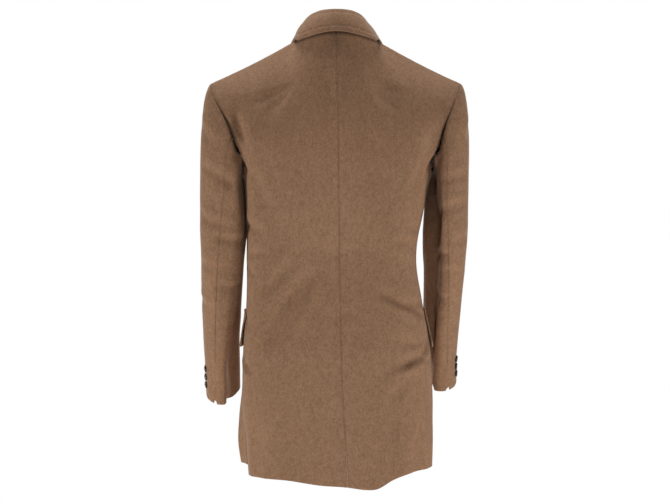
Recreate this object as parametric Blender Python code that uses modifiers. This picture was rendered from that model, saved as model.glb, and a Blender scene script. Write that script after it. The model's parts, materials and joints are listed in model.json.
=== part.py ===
"""Double-breasted blazer in felted wool, filled out as it is when worn, and hollow.

Metres, +Z up. The garment faces -Y, and +X is the wearer's left. The origin is the centre
of the neck opening, where the shoulders hold the garment up. Each cut piece is a wall of
cloth: a grid of points on the garment's form, with its inner side one cloth thickness in.
"""

from collections import namedtuple
from math import cos, pi, radians, sin

import bmesh
import bpy
import numpy as np
from mathutils import Vector

CLOTH = 0.0022          # thickness of the interlined cloth
SEAM_GAP = 0.00036      # between two pieces at a seam
LAY_GAP = 0.0004        # between a piece and what it lies on
SAME_PLACE = 0.0004     # points this close are one place on a seam
ROUND = 0.833           # 2 / exponent of the torso's superelliptic plan
MID_Y = 0.02            # depth at which the torso is widest

SEAM_BACK_Y = 0.0413    # side seam of the back, forward of the back plane
SEAM_FRONT_TURN = 113   # degrees round from centre back to the front's side seam, below the chest
SEAM_FRONT_FROM = -0.33  # height at which that seam starts to swing back to the armhole
VENT_TOP = -0.58
VENT_SPREAD = 3.0       # degrees by which a side vent stands open at the hem
FRONT_EDGE = 0.085      # front edge past the centre front
BREAK_Z = -0.37         # where a lapel starts to roll
SET_IN = 0.0094         # depth of the under front below the over front
SET_IN_FROM, SET_IN_OVER = 0.060, 0.045     # where it starts past the over front's edge, and its run

# One row for each level of the torso: its half widths, how far the side bodies bulge past
# them below the vents, the depths of the centre back and front, and the drift of the
# centre back seam.
Level = namedtuple("Level", "z left right bulge_left bulge_right back front seam")
LEVELS = (
    Level(-0.785, 0.157, 0.176, 0.010, 0.000, 0.123, -0.150, -0.0228),
    Level(-0.710, 0.162, 0.178, 0.014, 0.000, 0.121, -0.146, -0.0188),
    Level(-0.637, 0.168, 0.177, 0.003, 0.000, 0.118, -0.142, -0.0145),
    Level(-0.600, 0.168, 0.176, 0.000, 0.000, 0.116, -0.140, -0.0126),
    Level(-0.547, 0.167, 0.173, 0.000, 0.000, 0.113, -0.137, -0.0107),
    Level(-0.500, 0.164, 0.166, 0.000, 0.000, 0.108, -0.133, -0.0094),
    Level(-0.456, 0.161, 0.158, 0.000, 0.000, 0.104, -0.128, -0.0088),
    Level(-0.410, 0.160, 0.150, 0.000, 0.000, 0.099, -0.121, -0.0083),
    Level(-0.365, 0.160, 0.148, 0.000, 0.000, 0.098, -0.118, -0.0079),
    Level(-0.310, 0.161, 0.157, 0.000, 0.000, 0.102, -0.124, -0.0074),
    Level(-0.270, 0.163, 0.1665, 0.000, 0.000, 0.106, -0.130, -0.0070),
    Level(-0.230, 0.165, 0.171, 0.000, 0.000, 0.109, -0.133, -0.0065),
    Level(-0.2055, 0.1665, 0.178, 0.000, 0.000, 0.110, -0.133, -0.0062),
)
ROW_HEIGHTS = (-0.61, -0.58, -0.545, -0.51, -0.475, -0.44, -0.405, -0.37, -0.335, -0.30,
               -0.25, -0.2055)
SKIRT_BACK = (-0.78, -0.745, -0.71, -0.675, -0.64)
SKIRT_FRONT = (-0.752, -0.71, -0.675, -0.64)

# The back's hem rises and dips across the figure, from the wearer's right to the left.
Hem = namedtuple("Hem", "x rise")
HEM = (Hem(-0.178, 0.027), Hem(-0.125, 0.020), Hem(-0.101, 0.011), Hem(-0.088, 0.004),
       Hem(-0.075, -0.0025), Hem(-0.055, -0.0035), Hem(-0.022, 0.001), Hem(0.024, 0.004),
       Hem(0.070, 0.0095), Hem(0.160, 0.011))
HEM_FADE = 0.11         # height over which the hem's wave dies out

# Centre back above the chest, from the chest to the nape.
Spine = namedtuple("Spine", "z y x")
SPINE = (Spine(-0.2055, 0.110, -0.0062), Spine(-0.150, 0.1115, -0.0056),
         Spine(-0.100, 0.107, -0.0046), Spine(-0.050, 0.096, -0.0036),
         Spine(-0.015, 0.085, -0.0028), Spine(0.010, 0.0755, -0.0022),
         Spine(0.026, 0.068, -0.0020))

NECK_X, NECK_Y, NECK_Z = 0.073, 0.012, 0.0175
NECK_SHIFT = -0.003     # the collar sits a little to the wearer's right
SHOULDER_HOLLOW = 0.003

# Armhole: an oval seen from the side, leaning out to the shoulder tip.
ARM_TOP, ARM_BOTTOM, ARM_Y = -0.058, -0.225, 0.001
ARM_BACK, ARM_FRONT = 0.063, 0.054
Arm = namedtuple("Arm", "z left right")     # how far the seam stands out from the chest
ARMHOLE = (Arm(-0.2260, 0.000, 0.000), Arm(-0.2055, 0.000, 0.000), Arm(-0.190, 0.013, 0.012),
           Arm(-0.172, 0.0225, 0.0205), Arm(-0.156, 0.030, 0.028), Arm(-0.131, 0.042, 0.036),
           Arm(-0.1065, 0.052, 0.0435), Arm(-0.083, 0.058, 0.047), Arm(-0.058, 0.056, 0.048))
CHEST_TURN = 40.0       # degrees round the armhole from its bottom to a side seam
YOKE_ROWS = 8
YOKE_RELAX = 14         # passes that even out the back's yoke
NECK_COLUMNS, SHOULDER_COLUMNS, SIDE_COLUMNS = 5, 9, 4

# The roll of a front from the break to the neck: depth by height. It is straight seen
# from the front.
Roll = namedtuple("Roll", "z y")
ROLL = (Roll(-0.2055, -0.1315), Roll(-0.150, -0.124), Roll(-0.100, -0.108),
        Roll(-0.060, -0.086), Roll(-0.030, -0.060), Roll(-0.008, -0.031),
        Roll(0.0175, 0.012))

# Largest soft folds of the body: a line from one end to the other, its half breadth and its
# depth, which is negative in a trough.
Fold = namedtuple("Fold", "face x0 z0 x1 z1 breadth depth")
FOLDS = (
    Fold("back", 0.172, -0.110, 0.163, -0.215, 0.009, -0.0075),
    Fold("back", 0.151, -0.110, 0.149, -0.215, 0.006, 0.0028),
    Fold("back", -0.176, -0.150, -0.155, -0.250, 0.010, -0.0035),
    Fold("back", 0.050, -0.405, 0.128, -0.530, 0.022, -0.0050),
    Fold("back", 0.085, -0.340, 0.140, -0.300, 0.020, -0.0025),
    Fold("back", -0.080, -0.445, -0.150, -0.472, 0.011, -0.0045),
    Fold("back", -0.085, -0.490, -0.155, -0.497, 0.012, 0.0030),
    Fold("back", -0.090, -0.565, -0.156, -0.530, 0.011, -0.0050),
    Fold("back", -0.092, -0.560, -0.062, -0.640, 0.014, -0.0030),
    Fold("back", 0.150, -0.548, 0.118, -0.580, 0.007, -0.0035),
    Fold("back", -0.100, -0.640, -0.104, -0.800, 0.018, -0.0060),
    Fold("back", 0.085, -0.640, 0.100, -0.800, 0.022, -0.0040),
    Fold("back", -0.060, -0.130, -0.110, -0.330, 0.022, -0.0025),
    Fold("front", 0.110, -0.360, 0.150, -0.300, 0.014, -0.0035),
    Fold("front", -0.100, -0.355, -0.140, -0.290, 0.015, -0.0040),
    Fold("front", -0.105, -0.420, -0.140, -0.450, 0.013, -0.0030),
    Fold("front", -0.115, -0.560, -0.120, -0.760, 0.020, -0.0045),
    Fold("front", 0.115, -0.580, 0.125, -0.760, 0.018, -0.0040),
)

# Sleeve rings from the upper arm to the cuff. Tilt is the forearm's lean towards the front,
# and seam is how many degrees round from the inside the back seam lies.
Ring = namedtuple("Ring", "z_left z_right x_left x_right y wide_left wide_right deep tilt seam")
RINGS = (
    Ring(-0.270, -0.270, 0.2065, 0.2060, 0.000, 0.0400, 0.0375, 0.062, 3, 80),
    Ring(-0.318, -0.316, 0.2070, 0.2040, -0.002, 0.0395, 0.0390, 0.059, 7, 87),
    Ring(-0.365, -0.362, 0.2075, 0.2010, -0.007, 0.0382, 0.0400, 0.056, 12, 93),
    Ring(-0.412, -0.406, 0.2088, 0.1995, -0.020, 0.0376, 0.0390, 0.053, 17, 97),
    Ring(-0.460, -0.450, 0.2100, 0.1985, -0.037, 0.0370, 0.0370, 0.051, 21, 101),
    Ring(-0.506, -0.493, 0.2105, 0.1980, -0.056, 0.0364, 0.0352, 0.0495, 23, 105),
    Ring(-0.552, -0.535, 0.2108, 0.1985, -0.075, 0.0358, 0.0325, 0.048, 25, 108),
    Ring(-0.595, -0.575, 0.2112, 0.1980, -0.094, 0.0348, 0.0322, 0.0465, 25, 110),
    Ring(-0.637, -0.612, 0.2115, 0.2005, -0.112, 0.0340, 0.0312, 0.0455, 25, 111),
)
CAP_STEPS = (0.0, 0.1, 0.22, 0.36, 0.52, 0.70, 0.86)
# How the cap leaves the armhole (outwards, back and down) and how it meets the first ring (in
# ring steps): each its value under the arm, then what is added over the shoulder.
CAP_OUT, CAP_BACK, CAP_DOWN, CAP_MEET = (0.030, 0.045), 0.030, (0.002, 0.030), (0.9, 1.9)
BACK_SEAM, FRONT_SEAM = 75.0, -57.5     # degrees round the armhole where the sleeve's seams end
CUFF_VENT_RINGS = 2
CUFF_SPREAD = (9.0, 5.4)        # degrees by which the cuff vent's two edges stand open

# Soft folds across a sleeve: height, place round it, half breadths, depth and slant.
Crease = namedtuple("Crease", "z turn tall round depth slant")
CREASES = (
    Crease(-0.300, 60, 0.010, 60, -0.0030, 0.00040),
    Crease(-0.345, 40, 0.010, 55, -0.0040, 0.00045),
    Crease(-0.385, 320, 0.011, 60, -0.0045, -0.00040),
    Crease(-0.425, 300, 0.011, 55, -0.0035, -0.00040),
    Crease(-0.480, 30, 0.012, 50, -0.0025, 0.00030),
    Crease(-0.560, 330, 0.012, 50, -0.0025, -0.00030),
    Crease(-0.235, 250, 0.012, 45, -0.0030, 0.00030),
)

# Half of the collar, from centre back to the front: the top of the stand, then the outer
# edge of the fall.
Collar = namedtuple("Collar", "x y top edge_x edge_y edge_z")
COLLAR = (
    Collar(0.000, 0.0540, 0.0622, 0.000, 0.0825, 0.0230),
    Collar(0.0150, 0.0520, 0.0620, 0.0220, 0.0800, 0.0218),
    Collar(0.0300, 0.0450, 0.0607, 0.0420, 0.0710, 0.0195),
    Collar(0.0440, 0.0330, 0.0570, 0.0595, 0.0575, 0.0185),
    Collar(0.0555, 0.0180, 0.0495, 0.0722, 0.0392, 0.0195),
    Collar(0.0625, 0.0010, 0.0385, 0.0775, 0.0130, 0.0205),
)
WIDER_RIGHT = 1.03      # the collar's right half against its left

# Past the neck point the fall lies on the front: the stand's height, how far the fall's edge
# leans up along the roll, and the fall's depth. The last row is the collar's front end.
Turn = namedtuple("Turn", "stand lean width")
COLLAR_FRONT = (Turn(0.017, 0.012, 0.030), Turn(0.003, 0.034, 0.043), Turn(0.0, 0.056, 0.052))
GORGE = 0.795           # place of the collar's front end along the roll
STAND_LEAN = 0.24       # the stand's lean to the middle past the neck point
FALL_OFF = 0.0020       # under the collar's ends
FALL_BELLY = 0.0042
ROLL_RADIUS = 0.0042
ROLL_TURNS = (63, 112, 155)             # degrees round the collar's roll
EDGE_TURNS = (90, 135)                  # the same, where a lapel rolls round the front's edge
FALL_STEPS = (0.25, 0.5, 0.75, 1.0)

# The lapel from the break up: place along the roll of its inner and outer ends, width, and
# how late the row rises to its outer end.
Lapel = namedtuple("Lapel", "inner outer width late")
LAPEL = (Lapel(0.03, 0.03, 0.012, 1.0), Lapel(0.12, 0.12, 0.031, 1.0),
         Lapel(0.22, 0.22, 0.047, 1.0), Lapel(0.32, 0.32, 0.060, 1.0),
         Lapel(0.42, 0.42, 0.070, 1.0), Lapel(0.52, 0.525, 0.079, 1.0),
         Lapel(0.61, 0.628, 0.087, 1.0), Lapel(0.69, 0.732, 0.095, 1.1),
         Lapel(0.745, 0.828, 0.101, 1.4), Lapel(0.786, 0.912, 0.105, 1.7))
LAPEL_STEPS = (0.08, 0.25, 0.45, 0.65, 0.83, 1.0)
LAPEL_LIFT = 0.0010
LAPEL_CLEAR = 0.0017    # under a lapel, over the front's facets

FLAP_TOP, FLAP_BOTTOM = -0.472, -0.541
FLAP_TURNS = (83.0, 140.0)              # degrees round from centre back
FLAP_LIFT = 0.0032                      # how far its lower edge stands off
FLAP_CLEAR = 0.0004                     # more room for it over the side seam
FLAP_CORNER = 0.012                     # radius of its lower corners
FLAP_ROUNDED = 0.14                     # share of its length that a corner takes
FLAP_STEPS = (0.0, 0.05, 0.14, 0.3, 0.5, 0.7, 0.86, 0.95, 1.0)
FLAP_ROWS = (0.0, 0.35, 0.7, 1.0)

Button = namedtuple("Button", "x z")
FRONT_BUTTONS = (Button(-0.096, -0.275), Button(0.100, -0.275), Button(-0.062, -0.392),
                 Button(0.062, -0.392), Button(-0.062, -0.495), Button(0.062, -0.495))
FRONT_BUTTON, CUFF_BUTTON = 0.0115, 0.0073      # radii
CUFF_BUTTONS = 3
CUFF_BUTTON_ROWS = (0.60, 0.372)        # in rings up from the cuff: the first, then each next
CUFF_BUTTON_COLUMN = 3.1                # in columns round from the vent
BUTTON_LIFT = 0.0005

RIM_WAY = np.array([0.3, 0.5, 0.8])     # two rims at a seam split their faces alike, along this

# The line inside the body that its surfaces face away from: its depth, how far below a point
# it is taken, and how much further below in the yokes.
INSIDE_Y, INSIDE_DROP, YOKE_DROP, YOKE_FROM = -0.01, 0.02, 0.10, -0.11

CAMEL = (0.262, 0.150, 0.087, 1.0)
CAMEL_COLLAR = (0.238, 0.136, 0.079, 1.0)
HORN = (0.045, 0.026, 0.017, 1.0)


def read(table, column, at, key="z"):
    """One column of a table, read smoothly at any value of its rising key column."""
    keys = np.array([getattr(row, key) for row in table])
    values = np.array([getattr(row, column) for row in table])
    slopes = np.gradient(values, keys)
    at = np.clip(np.asarray(at, float), keys[0], keys[-1])
    i = np.clip(np.searchsorted(keys, at, side="right") - 1, 0, len(keys) - 2)
    step = keys[i + 1] - keys[i]
    t = (at - keys[i]) / step
    return (
        (1 + 2 * t) * (1 - t) ** 2 * values[i]
        + t * (1 - t) ** 2 * step * slopes[i]
        + t * t * (3 - 2 * t) * values[i + 1]
        + t * t * (t - 1) * step * slopes[i + 1]
    )


def smooth(t):
    """0 to 1 with level ends."""
    t = np.clip(t, 0.0, 1.0)
    return t * t * (3 - 2 * t)


def spaced(curve, fractions):
    """Points of a dense curve at fractions of its length."""
    steps = np.linalg.norm(np.diff(curve, axis=0), axis=1)
    run = np.concatenate([[0.0], np.cumsum(steps)])
    at = np.asarray(fractions) * run[-1]
    return np.stack([np.interp(at, run, curve[:, k]) for k in range(3)], axis=1)


def side_sign(side):
    return 1.0 if side == "left" else -1.0


def width_at(x_sign, z):
    return np.where(x_sign >= 0, read(LEVELS, "left", z), read(LEVELS, "right", z))


def torso(z, turn):
    """The torso's form at a height, turn degrees round from centre back: + to the wearer's
    left, past 180 over the centre front."""
    z, turn = np.broadcast_arrays(np.asarray(z, float), np.radians(turn))
    across = np.abs(np.sin(turn)) ** ROUND
    x_sign = np.sign(np.sin(turn))
    x = x_sign * width_at(x_sign, z) * across
    behind = np.cos(turn) >= 0
    x = x + np.where(behind, read(LEVELS, "seam", z) * (1 - across), 0.0)
    depth = np.where(behind, read(LEVELS, "back", z), read(LEVELS, "front", z)) - MID_Y
    y = MID_Y + depth * np.abs(np.cos(turn)) ** ROUND
    return np.stack([x, y, z + 0.0 * x], axis=-1)


def turn_at_y(z, y):
    """Degrees round to where the back half of the form has depth y."""
    share = (y - MID_Y) / (read(LEVELS, "back", z) - MID_Y)
    return np.degrees(np.arccos(share ** (1 / ROUND)))


def front_seam_turn(z):
    """Degrees round to the front's side seam, which meets the armhole at the chest."""
    arm_y = ARM_Y - ARM_FRONT * sin(radians(CHEST_TURN))
    share = (arm_y - MID_Y) / (LEVELS[-1].front - MID_Y)
    chest = 180.0 - np.degrees(np.arccos(share ** (1 / ROUND)))
    rise = smooth((z - SEAM_FRONT_FROM) / (ROW_HEIGHTS[-1] - SEAM_FRONT_FROM))
    return SEAM_FRONT_TURN + (chest - SEAM_FRONT_TURN) * rise


def turn_at_x(z, x, side):
    """Degrees round to where the front half of the form has this x, on one side's count."""
    sign = side_sign(side)
    width = width_at(x, z)
    past = np.degrees(np.arcsin(np.clip(np.abs(x) / width, 0, 1) ** (1 / ROUND)))
    return sign * (180.0 - np.sign(x) * sign * past)


def folds(points, face):
    """How far the face's folds move it out at each point."""
    out = np.zeros(points.shape[:-1])
    for fold in FOLDS:
        if fold.face != face:
            continue
        start = np.array([fold.x0, fold.z0])
        run = np.array([fold.x1, fold.z1]) - start
        place = points[..., [0, 2]] - start
        t = place @ run / (run @ run)
        off = place - np.clip(t, 0, 1)[..., None] * run
        far = np.sum(off * off, axis=-1) / fold.breadth ** 2
        ends = smooth((t + 0.15) / 0.35) * smooth((1.15 - t) / 0.35)
        out += fold.depth * np.exp(-far) * ends
    return out


def armhole(turn, side):
    """The armhole seam, turn degrees round from its bottom: + through the back."""
    a = np.radians(np.asarray(turn, float))
    z = (ARM_TOP + ARM_BOTTOM) / 2 - (ARM_TOP - ARM_BOTTOM) / 2 * np.cos(a)
    y = ARM_Y + np.where(a >= 0, ARM_BACK, ARM_FRONT) * np.sin(a)
    chest = LEVELS[-1]
    width = getattr(chest, side)
    depth = np.where(y > MID_Y, chest.back, chest.front) - MID_Y
    on_chest = width * (1 - ((y - MID_Y) / depth) ** (2 / ROUND)) ** (ROUND / 2)
    x = on_chest + read(ARMHOLE, side, z)
    return np.stack([side_sign(side) * x, y, z], axis=-1)


def neck_point(side):
    return np.array([side_sign(side) * NECK_X + NECK_SHIFT, NECK_Y, NECK_Z])


def neckline(side):
    """Back neck seam, from the centre back to the neck point."""
    a = np.linspace(0, pi / 2, 60)
    nape = SPINE[-1]
    end = neck_point(side)
    x = nape.x + (end[0] - nape.x) * np.sin(a)
    y = end[1] + (nape.y - end[1]) * np.cos(a) ** 0.9
    z = nape.z + (end[2] - nape.z) * (1 - np.cos(a))
    return np.stack([x, y, z], axis=1)


def shoulder(side):
    """Shoulder seam, from the neck point to the tip."""
    t = np.linspace(0, 1, 60)
    start, end = neck_point(side), armhole(180.0, side)
    line = start + (end - start) * t[:, None]
    line[:, 2] -= SHOULDER_HOLLOW * np.sin(pi * t)
    return line


def roll_x(z, side):
    """The straight roll line of a front, which crosses to the other side."""
    top = neck_point(side)
    low = -side_sign(side) * FRONT_EDGE
    return top[0] + (low - top[0]) * (top[2] - z) / (top[2] - BREAK_Z)


def front_edge_x(z, side):
    z = np.asarray(z, float)
    return np.where(z < BREAK_Z, -side_sign(side) * FRONT_EDGE, roll_x(z, side))


def set_in(points):
    """How far the under front lies in, where the over front covers it."""
    cover = front_edge_x(points[..., 2], "right")
    return SET_IN * smooth((cover + SET_IN_FROM - points[..., 0]) / SET_IN_OVER)


def coons(low, high, first, last):
    """Patch between four boundary curves: low and high run across, first and last up."""
    u = np.linspace(0, 1, len(low))[None, :, None]
    t = np.linspace(0, 1, len(first))[:, None, None]
    across = (1 - t) * low[None] + t * high[None]
    up = (1 - u) * first[:, None] + u * last[:, None]
    corners = (1 - t) * ((1 - u) * low[0] + u * low[-1]) + t * ((1 - u) * high[0] + u * high[-1])
    return across + up - corners


def relaxed(grid, times):
    """The grid with its inner points evened out, as cloth evens out a corner of its edge."""
    grid = grid.copy()
    for _ in range(times):
        mean = (grid[:-2, 1:-1] + grid[2:, 1:-1] + grid[1:-1, :-2] + grid[1:-1, 2:]) / 4
        grid[1:-1, 1:-1] += 0.5 * (mean - grid[1:-1, 1:-1])
    return grid


def edge_fade(rows, columns, first, last, top):
    """1 inside a panel, falling to 0 at the edges named."""
    u = np.linspace(0, 1, columns)[None]
    t = np.linspace(0, 1, rows)[:, None]
    fade = np.ones((rows, columns))
    if first:
        fade = fade * smooth(u / 0.12)
    if last:
        fade = fade * smooth((1 - u) / 0.12)
    if top:
        fade = fade * smooth((1 - t) / 0.15)
    return fade


def back_panel(side):
    sign = side_sign(side)
    columns = NECK_COLUMNS + SHOULDER_COLUMNS
    fractions = np.linspace(0, 1, columns + 1)
    rows = []
    for z in SKIRT_BACK + ROW_HEIGHTS:
        end = turn_at_y(z, SEAM_BACK_Y)
        row = spaced(torso(z, sign * np.linspace(0, end, 80)), fractions)
        if z <= VENT_TOP:
            rise = read(HEM, "rise", row[:, 0], key="x")
            row[:, 2] += rise * smooth(1 - (z - SKIRT_BACK[0]) / HEM_FADE)
        rows.append(row)
    t = np.linspace(0, 1, YOKE_ROWS + 1)
    spine_z = SPINE[0].z + (SPINE[-1].z - SPINE[0].z) * np.linspace(0, 1, 60)
    spine = np.stack([read(SPINE, "x", spine_z), read(SPINE, "y", spine_z), spine_z], axis=1)
    arm = armhole(CHEST_TURN + (180 - CHEST_TURN) * t, side)
    rows[-1][-1] = arm[0]
    neck = spaced(neckline(side), np.linspace(0, 1, NECK_COLUMNS + 1))
    tip = spaced(shoulder(side), np.linspace(0, 1, SHOULDER_COLUMNS + 1))
    yoke = coons(rows[-1], np.concatenate([neck, tip[1:]]), spaced(spine, t), arm)
    grid = np.concatenate([np.array(rows), yoke[1:]])
    grid[len(rows) - 3:] = relaxed(grid[len(rows) - 3:], YOKE_RELAX)
    fade = edge_fade(len(grid), columns + 1, False, True, True)
    grid[..., 1] += folds(grid, "back") * fade
    return grid


def side_panel(side):
    sign = side_sign(side)
    rows = []
    for z in SKIRT_FRONT + ROW_HEIGHTS:
        start = turn_at_y(z, SEAM_BACK_Y)
        start += VENT_SPREAD * smooth((VENT_TOP - z) / (VENT_TOP - SKIRT_FRONT[0]))
        turns = sign * np.linspace(start, front_seam_turn(z), 40)
        share = np.linspace(0, 1, SIDE_COLUMNS + 1)
        row = spaced(torso(z, turns), share)
        row[:, 0] += sign * read(LEVELS, "bulge_" + side, z) * np.sin(pi * share ** 0.8)
        rows.append(row)
    rows[-1] = armhole(np.linspace(CHEST_TURN, -CHEST_TURN, SIDE_COLUMNS + 1), side)
    return np.array(rows)


def front_panel(side):
    """A front, from its side seam to its edge or its roll."""
    fractions = np.linspace(0, 1, SHOULDER_COLUMNS + 1)
    rows = []
    for z in SKIRT_FRONT + ROW_HEIGHTS:
        start = side_sign(side) * front_seam_turn(z)
        end = turn_at_x(z, front_edge_x(z, side), side)
        rows.append(spaced(torso(z, np.linspace(start, end, 120)), fractions))
    t = np.linspace(0, 1, YOKE_ROWS + 1)
    arm = armhole(-CHEST_TURN - (180 - CHEST_TURN) * t, side)
    rows[-1][0] = arm[0]
    roll_z = np.linspace(ROLL[0].z, NECK_Z, 60)
    roll = np.stack([roll_x(roll_z, side), read(ROLL, "y", roll_z), roll_z], axis=1)
    roll[0] = rows[-1][-1]
    tip = spaced(shoulder(side)[::-1], fractions)
    yoke = coons(rows[-1], tip, arm, spaced(roll, t))
    grid = np.concatenate([np.array(rows), yoke[1:]])
    fade = edge_fade(len(grid), SHOULDER_COLUMNS + 1, True, False, True)
    grid[..., 1] -= folds(grid, "front") * fade
    if side == "left":
        grid[..., 1] += set_in(grid)
    return grid


def sleeve_columns():
    """Degrees round the armhole for each column of the whole sleeve, from the back seam over
    the top and under the arm back to that seam."""
    step = (180 - CHEST_TURN) / YOKE_ROWS
    over = list(np.arange(BACK_SEAM, 180.0 + step / 2, step))
    front = list(np.arange(-180.0 + step, -CHEST_TURN + step / 2, step))
    under = list(np.linspace(-CHEST_TURN, CHEST_TURN, SIDE_COLUMNS + 1)[1:])
    rest = list(np.arange(CHEST_TURN + step, BACK_SEAM + step / 2, step))
    return np.array(over + front + under + rest)


def creased(z, around):
    """How far a sleeve's folds move it out at a height and degrees round it."""
    out = np.zeros(len(around))
    for crease in CREASES:
        far = (around - crease.turn + 180.0) % 360.0 - 180.0
        off = z - crease.z - crease.slant * far
        out += crease.depth * np.exp(-(off / crease.tall) ** 2 - (far / crease.round) ** 2)
    return out


def sleeve_grid(side):
    """The whole sleeve as rings from the armhole to the cuff, back seam to back seam."""
    sign = side_sign(side)
    turns = sleeve_columns()
    seam = int(np.argmin(np.abs(turns - FRONT_SEAM)))
    start = armhole(turns, side)
    count = len(turns)
    rings = []
    for k, ring in enumerate(RINGS):
        z, x = getattr(ring, "z_" + side), getattr(ring, "x_" + side)
        wide = getattr(ring, "wide_" + side)
        front = 360.0 + FRONT_SEAM
        over = np.linspace(ring.seam, front, seam + 1)
        under = np.linspace(front, 360.0 + ring.seam, count - seam)[1:]
        around = np.concatenate([over, under])
        opened = smooth((k - len(RINGS) + 1 + CUFF_VENT_RINGS) / CUFF_VENT_RINGS)
        around[0] += CUFF_SPREAD[0] * opened
        around[-1] -= CUFF_SPREAD[1] * opened
        a = np.radians(around)
        tilt = radians(ring.tilt)
        out = 1.0 + creased(z, around) / wide
        across = -np.cos(a) * wide * out
        along = np.sin(a) * ring.deep * out
        y, z = ring.y + along * cos(tilt), z - along * sin(tilt)
        rings.append(np.stack([sign * (x + across), y, z], axis=1))
    first, second = rings[0], rings[1]
    top = (1 - np.cos(np.radians(turns))) / 2
    back = np.sin(np.radians(turns))
    out = CAP_OUT[0] + CAP_OUT[1] * top
    down = CAP_DOWN[0] + CAP_DOWN[1] * top
    leave = np.stack([sign * out, CAP_BACK * back, -down], axis=1)
    arrive = (second - first) * (CAP_MEET[0] + CAP_MEET[1] * top)[:, None]
    cap = []
    for t in CAP_STEPS:
        cap.append(
            start * (1 + 2 * t) * (1 - t) ** 2 + leave * t * (1 - t) ** 2
            + first * t * t * (3 - 2 * t) + arrive * t * t * (t - 1)
        )
    return np.array(cap + rings), seam


def normals_of(grid, centre):
    """Unit normals of a grid's points, facing away from the centre points."""
    along = np.gradient(grid, axis=0)
    across = np.gradient(grid, axis=1)
    normal = np.cross(along, across)
    normal /= np.maximum(np.linalg.norm(normal, axis=2, keepdims=True), 1e-12)
    if np.sum(normal * (grid - centre)) < 0:
        normal = -normal
    return normal


def torso_axis(grid):
    """For each point, one inside the body that its surface faces away from."""
    centre = grid * (0, 0, 1) + (0, INSIDE_Y, -INSIDE_DROP)
    centre[..., 2] -= YOKE_DROP * smooth((grid[..., 2] - YOKE_FROM) / -YOKE_FROM)
    return centre


def neck_axis(grid):
    return grid * (0, 0, 1) + (0, INSIDE_Y, -INSIDE_DROP)


class Front:
    """The outer surface of a front, read at a place along its roll and a width in from it."""

    def __init__(self, side):
        grid = front_panel(side)
        self.whole = grid
        self.normals = normals_of(grid, torso_axis(grid))
        first = int(np.argmin(np.abs(grid[:, -1, 2] - BREAK_Z)))
        self.grid, self.normals = grid[first:], self.normals[first:]
        edge = self.grid[:, -1]
        steps = np.linalg.norm(np.diff(edge, axis=0), axis=1)
        self.run = np.concatenate([[0], np.cumsum(steps)]) / steps.sum()

    def at(self, place, width):
        """(point, normal, direction away from the panel) there."""
        row = np.interp(place, self.run, np.arange(len(self.run)))
        i = min(int(row), len(self.run) - 2)
        part = row - i
        points = (1 - part) * self.grid[i] + part * self.grid[i + 1]
        normals = (1 - part) * self.normals[i] + part * self.normals[i + 1]
        points, normals = points[::-1], normals[::-1]
        steps = np.linalg.norm(np.diff(points, axis=0), axis=1)
        run = np.concatenate([[0], np.cumsum(steps)])
        point = np.array([np.interp(width, run, points[:, k]) for k in range(3)])
        normal = np.array([np.interp(width, run, normals[:, k]) for k in range(3)])
        away = points[0] - points[1]
        return point, normal / np.linalg.norm(normal), away / np.linalg.norm(away)


def edge_roll(front, place, turns):
    """Points where a turned-back piece rolls round the front's edge."""
    point, normal, away = front.at(place, 0.0)
    middle = point - normal * CLOTH / 2
    return [middle + ROLL_RADIUS * (sin(a) * away - cos(a) * normal) for a in np.radians(turns)]


def lapel_places(front):
    """Places of a lapel's rows: those of the front's rows under it, and halfway between."""
    inside = [place for place in front.run if LAPEL[0].inner < place < LAPEL[-1].inner]
    ends = [LAPEL[0].inner] + inside + [LAPEL[-1].inner]
    return sorted(ends + [(a + b) / 2 for a, b in zip(ends, ends[1:])])


def lapel_panel(front):
    """A lapel, from its roll round the front's edge out to its own edge."""
    rows = []
    for inner in lapel_places(front):
        outer, width, late = (read(LAPEL, key, inner, key="inner") for key in ("outer", "width", "late"))
        line = edge_roll(front, inner, EDGE_TURNS)
        for s in LAPEL_STEPS:
            point, normal, _ = front.at(inner + (outer - inner) * s ** late, width * s)
            line.append(point + normal * (CLOTH + LAPEL_CLEAR + LAPEL_LIFT * sin(pi * s)))
        rows.append(line)
    return np.array(rows)


def collar_stations(side, front):
    """(base, top, edge) of the collar on one side, from the centre back to its front end."""
    sign = side_sign(side)
    wider = 1.0 if side == "left" else WIDER_RIGHT
    neck = spaced(neckline(side), np.linspace(0, 1, NECK_COLUMNS + 1))
    stations = []
    for base, row in zip(neck, COLLAR):
        top = np.array([sign * row.x * wider + NECK_SHIFT, row.y, row.top])
        edge = np.array([sign * row.edge_x * wider + NECK_SHIFT, row.edge_y, row.edge_z])
        stations.append((base, top, edge))
    for k, turn in enumerate(COLLAR_FRONT[:-1]):
        base, place = front.grid[-2 - k, -1], front.run[-2 - k]
        top = base + turn.stand * np.array([-sign * STAND_LEAN, 0.0, 1.0])
        stations.append((base, top, on_collar_ground(front, place + turn.lean, turn.width)))
    return stations


def on_collar_ground(front, place, width):
    """A point of the fall where it lies on the front."""
    point, normal, _ = front.at(place, width)
    return point + normal * (CLOTH + FALL_OFF)


def stand_panel(stations_left, stations_right):
    line = stations_right[:0:-1] + stations_left
    base = np.array([station[0] for station in line])
    top = np.array([station[1] for station in line])
    middle = (base + top) / 2
    return np.array([base, middle, top])


def fall_column(top, edge):
    """Points of the fall at one station: over its roll, then down to its edge."""
    down = edge - top
    rise = np.array([0.0, 0.0, 1.0])
    flat = down * (1.0, 1.0, 0.0)
    flat /= np.linalg.norm(flat)
    line = [top + ROLL_RADIUS * (-cos(a) * flat + sin(a) * rise) for a in np.radians(ROLL_TURNS)]
    start = line[-1]
    face = np.cross(np.cross(down, rise), down)
    face /= np.linalg.norm(face)
    for s in FALL_STEPS:
        line.append(start + (edge - start) * s + face * FALL_BELLY * 4 * s * (1 - s))
    return line


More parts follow.
